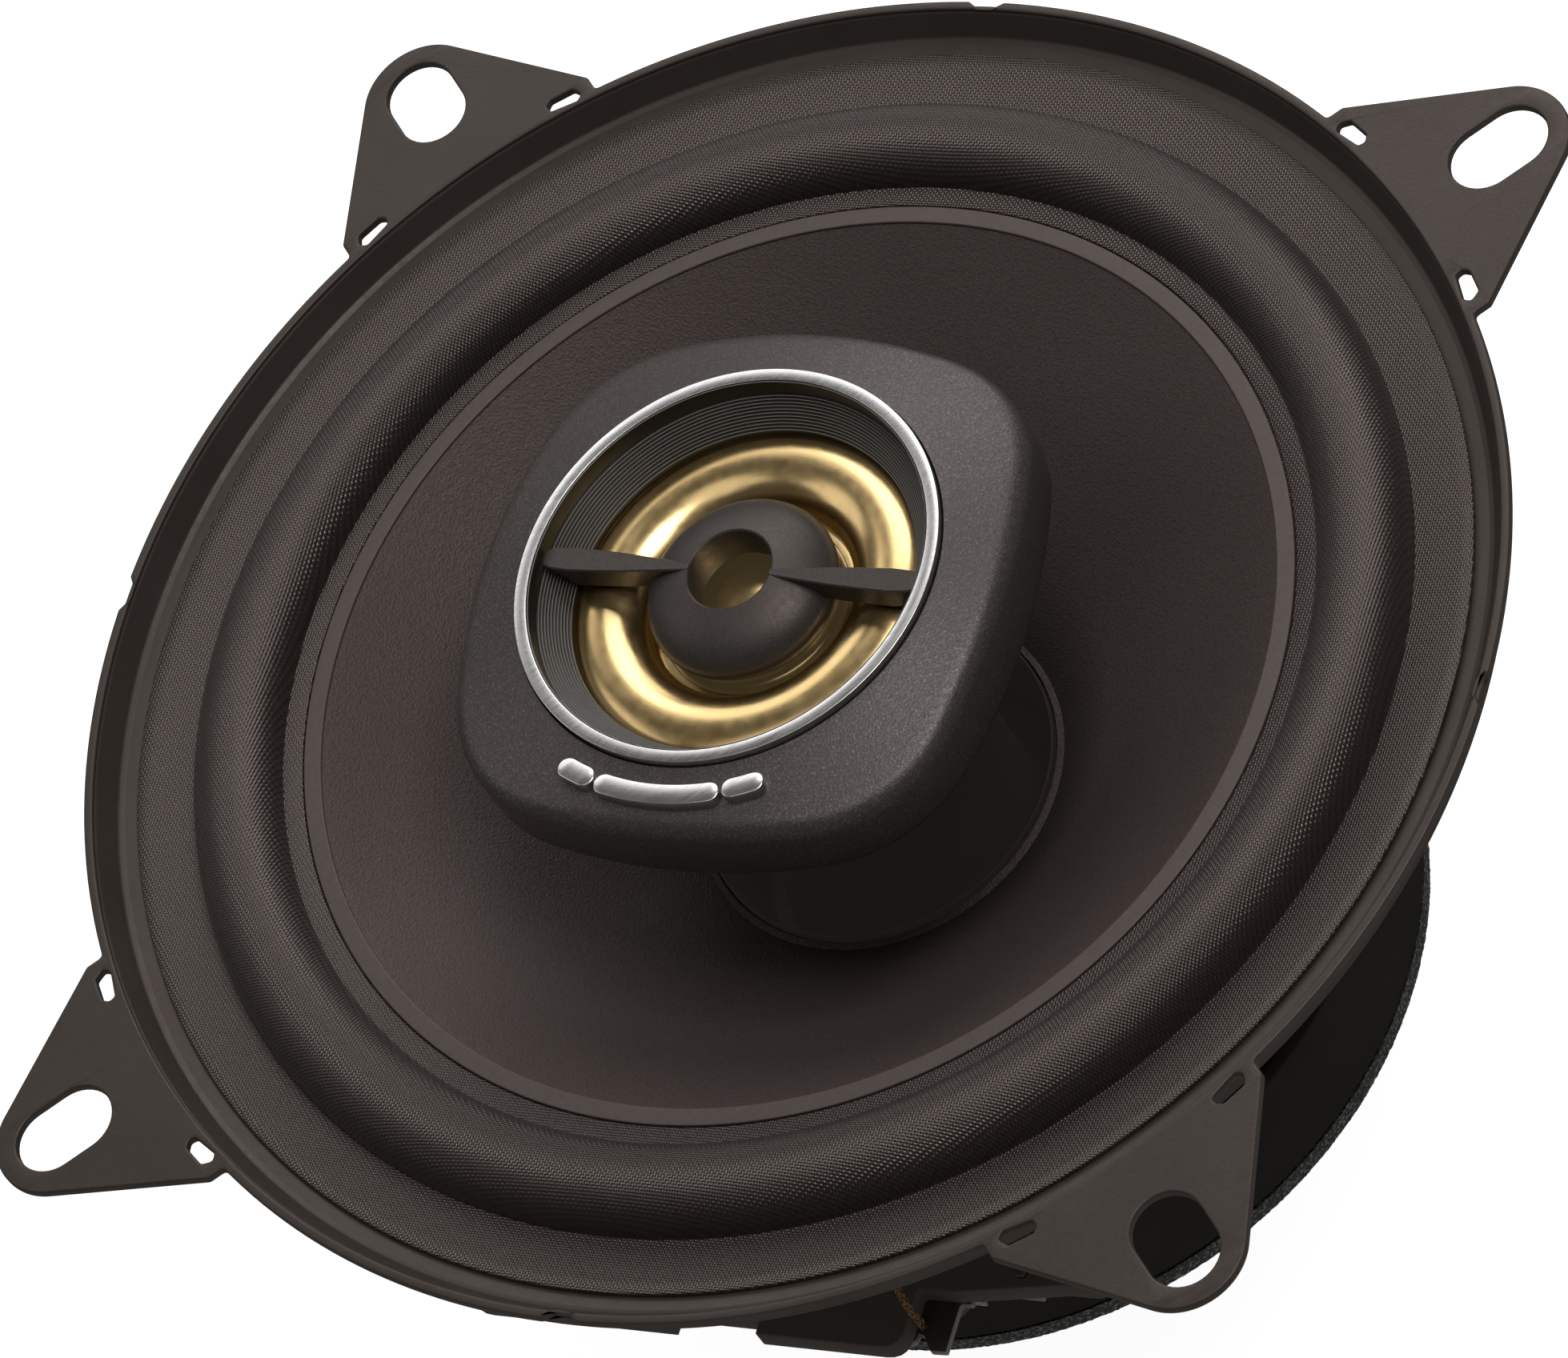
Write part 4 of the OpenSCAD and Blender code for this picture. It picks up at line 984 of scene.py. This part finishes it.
def post():
    """The hollow post that carries the tweeter."""
    outline = soft([(1.9, -40.6), (2.95, -40.6), (2.95, -27.5), (10.4, -27.5), (10.4, -26.5, 0.4),
                    (9.2, -25.1, 1), (9.2, -2), (2.95, -2), (2.95, -0.5), (1.9, -0.5)], 0.12, 4)
    add(finish_mesh("post_column", lathe_mesh(outline, 192), "post_plastic", sharp=50, weighted=True),
        FRAME, "tweeter_post")


# ---------- terminals and wires, drawn facing +X ----------

def board():
    """The terminal board, with holes for its own rivets, the terminals' rivets and their stakes."""
    inner = arc((0, 0), 38.75, 27.1, -27.1, 40)
    loop = soft([(34.5, -29, 0.6), (38, -29, 0.6), (38, -26.5, 3), (39.3, -18.8, 3), (39.3, -16.3, 0.4),
                 (43.75, -16.3, 1.6), (43.75, -0.7, 0.1), (42.75, -0.7, 0.1), (42.75, 5.65, 0.1),
                 (43.75, 5.65, 0.1), (43.75, 16.3, 1.6), (39.3, 16.3, 0.4), (39.3, 18.8, 3),
                 (38, 26.5, 3), (38, 29, 0.6), (34.5, 29, 0.6), (34.5, 17.7, 0)], 0.4, 5)
    loop = [tuple(p) for p in loop] + inner
    holes = [circle((x, side * y), r, steps)
             for x, y, r, steps in ((40.6, 3, 1.02, 24), (35.9, 17.9, 0.92, 24), (37.4, 23.3, 0.43, 16))
             for side in (-1, 1)]
    data = turn_mesh(prism_mesh(loop, holes, -16.3, -14.6, 0.12), TERMINAL_TURN)
    add(finish_mesh("terminal_strip", data, "board_black", sharp=50), FRAME, "terminal_board")


def terminal(name, node, blade_w, side):
    """One stamped terminal: forked lug, holed blade bent to the rear, and the stake in the board."""
    inner = 39.05 - blade_w
    lug = soft([(34.6, 16.6), (40, 15.2), (42.9, 15.35), (42.3, 16.35), (41.75, 16.45), (41.85, 16.85),
                (42.9, 17.6), (42.85, 18.75), (39.5, 18.75), (39.3, 18.95), (39.3, 19.5), (39.05, 19.6),
                (39.05, 20.45), (38.3, 20.45), (38.3, 24.4), (36.5, 24.4), (36.5, 20.45), (inner, 20.45),
                (34.4, 19.5)], 0.12, 4)
    flat = prism_mesh(lug, [circle((35.9, 17.9), 0.92, 24)], -16.9, -16.3, 0.06)
    peg = [(0, -16.4, 0), (0.4, -16.4, 0), (0.4, -14.35, 0.3), (0, -14.35, 0)]
    stake = lathe_mesh(soft(peg, 0.3, 4), 32)
    remap(stake, lambda x, y, z: (x + 37.4, y + 23.3, z))
    outline = soft([(inner, -16.6, 0), (inner, -22, 0.5), (39.05, -22, 0.4), (39.05, -16.6, 0)], 0.3, 5)
    blade = prism_mesh(outline, [circle((37.65, -19.8), 0.75, 32)], 0, 0.6, 0.06)
    remap(blade, lambda x, y, z: (x, 19.85 + z, y))
    data = combine(flat, [blade, stake], "UNION")
    remap(data, lambda x, y, z: (x, side * y, z))
    turn_mesh(data, TERMINAL_TURN)
    add(finish_mesh(name, data, "terminal_tin", sharp=40, weighted=True), FRAME, node)


def capacitor():
    """A small can with a crimp groove near one end, lying behind the board."""
    half, r = 6, 3.4
    outline = soft([(0, -half), (r - 0.3, -half, 0.3), (r, 0.5 - half, 0.4), (r, 1.6 - half, 0.3),
                    (r - 0.3, 1.9 - half, 0.3), (r, 2.2 - half, 0.3), (r, half - 0.4, 0.6),
                    (0.9, half, 0.4), (0.8, half - 0.25), (0, half - 0.25)], 0.2, 5)
    data = lathe_mesh([(max(a, 0), b) for a, b in outline], 96)
    remap(data, lambda x, y, z: (y + 35.3, z, -24 - x))
    turn_mesh(data, TERMINAL_TURN)
    add(finish_mesh("capacitor_can", data, "capacitor_sleeve", sharp=60), FRAME, "capacitor")


LEAD_ROUTE = [(20.2, 7.4, -12.6), (21, 7.7, -13.7), (22.8, 8.3, -15.2), (26, 9.4, -16.6), (30, 11, -16.9),
              (33.2, 12.2, -15.8), (36, 13.4, -13.9), (38.2, 14.4, -13.1), (39.8, 15.4, -13.2),
              (41, 16.3, -14.2), (41.3, 16.7, -15.4), (41.3, 16.7, -16.25)]
CAPACITOR_IN = [(35.3, -6, -24), (35.3, -8, -24), (35.5, -11, -23.2), (35.8, -15, -20.2),
                (35.9, -17.3, -18.6), (35.9, -17.9, -17.45)]
CAPACITOR_OUT = [(35.3, 6, -24), (35.3, 7.6, -24), (35, 8.6, -25), (34.3, 8.2, -27), (33.4, 6.6, -28.6)]
DOWN_THE_POST = [(0.7, 0.9, -0.6), (0.7, 0.9, -12), (0.7, 0.9, -26), (0.7, 0.9, -38.2), (0.7, 0.9, -39.9),
                 (1.2, 0.9, -41.2), (2.5, 0.9, -41.7), (6, 0.9, -41.7), (18, 0.9, -41.7), (27, 0.9, -41.7),
                 (29.4, 0.9, -41.3), (30.6, 0.9, -40.1), (30.85, 0.9, -38), (30.85, 0.9, -33.5)]
POSITIVE_WIRE = DOWN_THE_POST + [
    (31.1, 1.2, -31), (31.7, 2.6, -29.7), (32.6, 4.8, -28.9), (33.4, 6.6, -28.6)]
NEGATIVE_WIRE = [(x, -y, z) for x, y, z in DOWN_THE_POST] + [
    (31.4, -0.7, -31.4), (33, 1.2, -30.4), (35, 5.2, -30.2), (36.3, 10.2, -28), (36.4, 15, -23.6),
    (36.1, 17.3, -19.6), (35.9, 17.9, -17.45)]


def placed(route, steps):
    """A route turned to the terminals' leg, as a smooth path."""
    return spline([turned(p, TERMINAL_TURN) for p in route], steps)


def wire(name, node, route, radius, slot):
    """A round wire along a route. Returns its piece and its path."""
    path = placed(route, 8)
    piece = finish_mesh(name, mesh_of(*tube_parts(path, radius, 16)), slot, sharp=60)
    add(piece, FRAME, node)
    return piece, path


def tweeter_wires():
    radius = 0.45
    for name, node, route, slot in (
            ("wire_positive", "tweeter_wire_positive", POSITIVE_WIRE, "wire_red"),
            ("wire_negative", "tweeter_wire_negative", NEGATIVE_WIRE, "wire_black")):
        piece, path = wire(name, node, route, radius, slot)
    wire("capacitor_wire_in", "capacitor_lead_in", CAPACITOR_IN, 0.3, "terminal_tin")
    wire("capacitor_wire_out", "capacitor_lead_out", CAPACITOR_OUT, 0.3, "terminal_tin")


def tinsel_lead(name, node, side):
    """A braid: strands that wind both ways round the lead and pass over and under each other."""
    path = placed([(x, side * y, z) for x, y, z in LEAD_ROUTE], 10)
    lengths = [np.linalg.norm(b - a) for a, b in zip(path, path[1:])]
    travelled = np.concatenate([[0], np.cumsum(lengths)])
    strands, pitch, parts = 4, 2.6, []
    for way in (1, -1):
        for strand in range(strands):
            phase = 2 * math.pi * strand / strands

            def offset(i, way=way, phase=phase):
                a = way * (2 * math.pi * travelled[i] / pitch) + phase
                out = 0.2 + 0.03 * way * math.cos(strands * a)
                return out * math.cos(a), out * math.sin(a)

            parts.append(tube_parts(path, 0.1, 6, offset))
    parts.append(tube_parts(path, 0.15, 10))
    piece = finish_mesh(name, joined_parts(parts), "tinsel", sharp=70)
    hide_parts(node)
    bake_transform(piece)


# ---------- the whole object ----------

def dress_cad():
    """Gives every CAD node that stays in view its finish."""
    kept = {"top_plate": "plated_steel", "basket_rivets": "plated_steel", "magnet": "ferrite",
            "yoke": "black_oxide", "post_nut": "plated_steel", "voice_coil_former": "former_foil",
            "voice_coil": "copper_winding", "lead_pads": "brass", "tweeter_yoke": "plated_steel",
            "tweeter_magnet": "neodymium", "tweeter_pole_plate": "plated_steel",
            "tweeter_coil": "copper_winding", "terminal_rivets": "brass", "board_rivets": "plated_steel"}
    for node, slot in kept.items():
        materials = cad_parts[node].data.materials
        materials.clear()
        materials.append(MATERIALS[slot])


def floor():
    """The ground under the boot. Reflections leave it out, or the undersides turn too bright."""
    half = 3000
    corners = [(x * half, y * half, BOOT_BACK) for x, y in ((-1, -1), (1, -1), (1, 1), (-1, 1))]
    data = mesh_of(corners, [[0, 1, 2, 3]])
    piece = bpy.data.objects.new("floor", data)
    bpy.context.scene.collection.objects.link(piece)
    data.materials.append(MATERIALS["floor_paper"])
    piece.visible_glossy = False


make_materials()
studio()
floor()
tweeter_wires()
tinsel_lead("lead_positive", "tinsel_lead_positive", -1)
tinsel_lead("lead_negative", "tinsel_lead_negative", 1)
basket()
boot()
surround()
spider()
cone()
housing()
horn()
gold()
plug()
badge()
post()
board()
terminal("terminal_plus", "terminal_positive", 4.8, -1)
terminal("terminal_minus", "terminal_negative", 2.8, 1)
capacitor()
dress_cad()
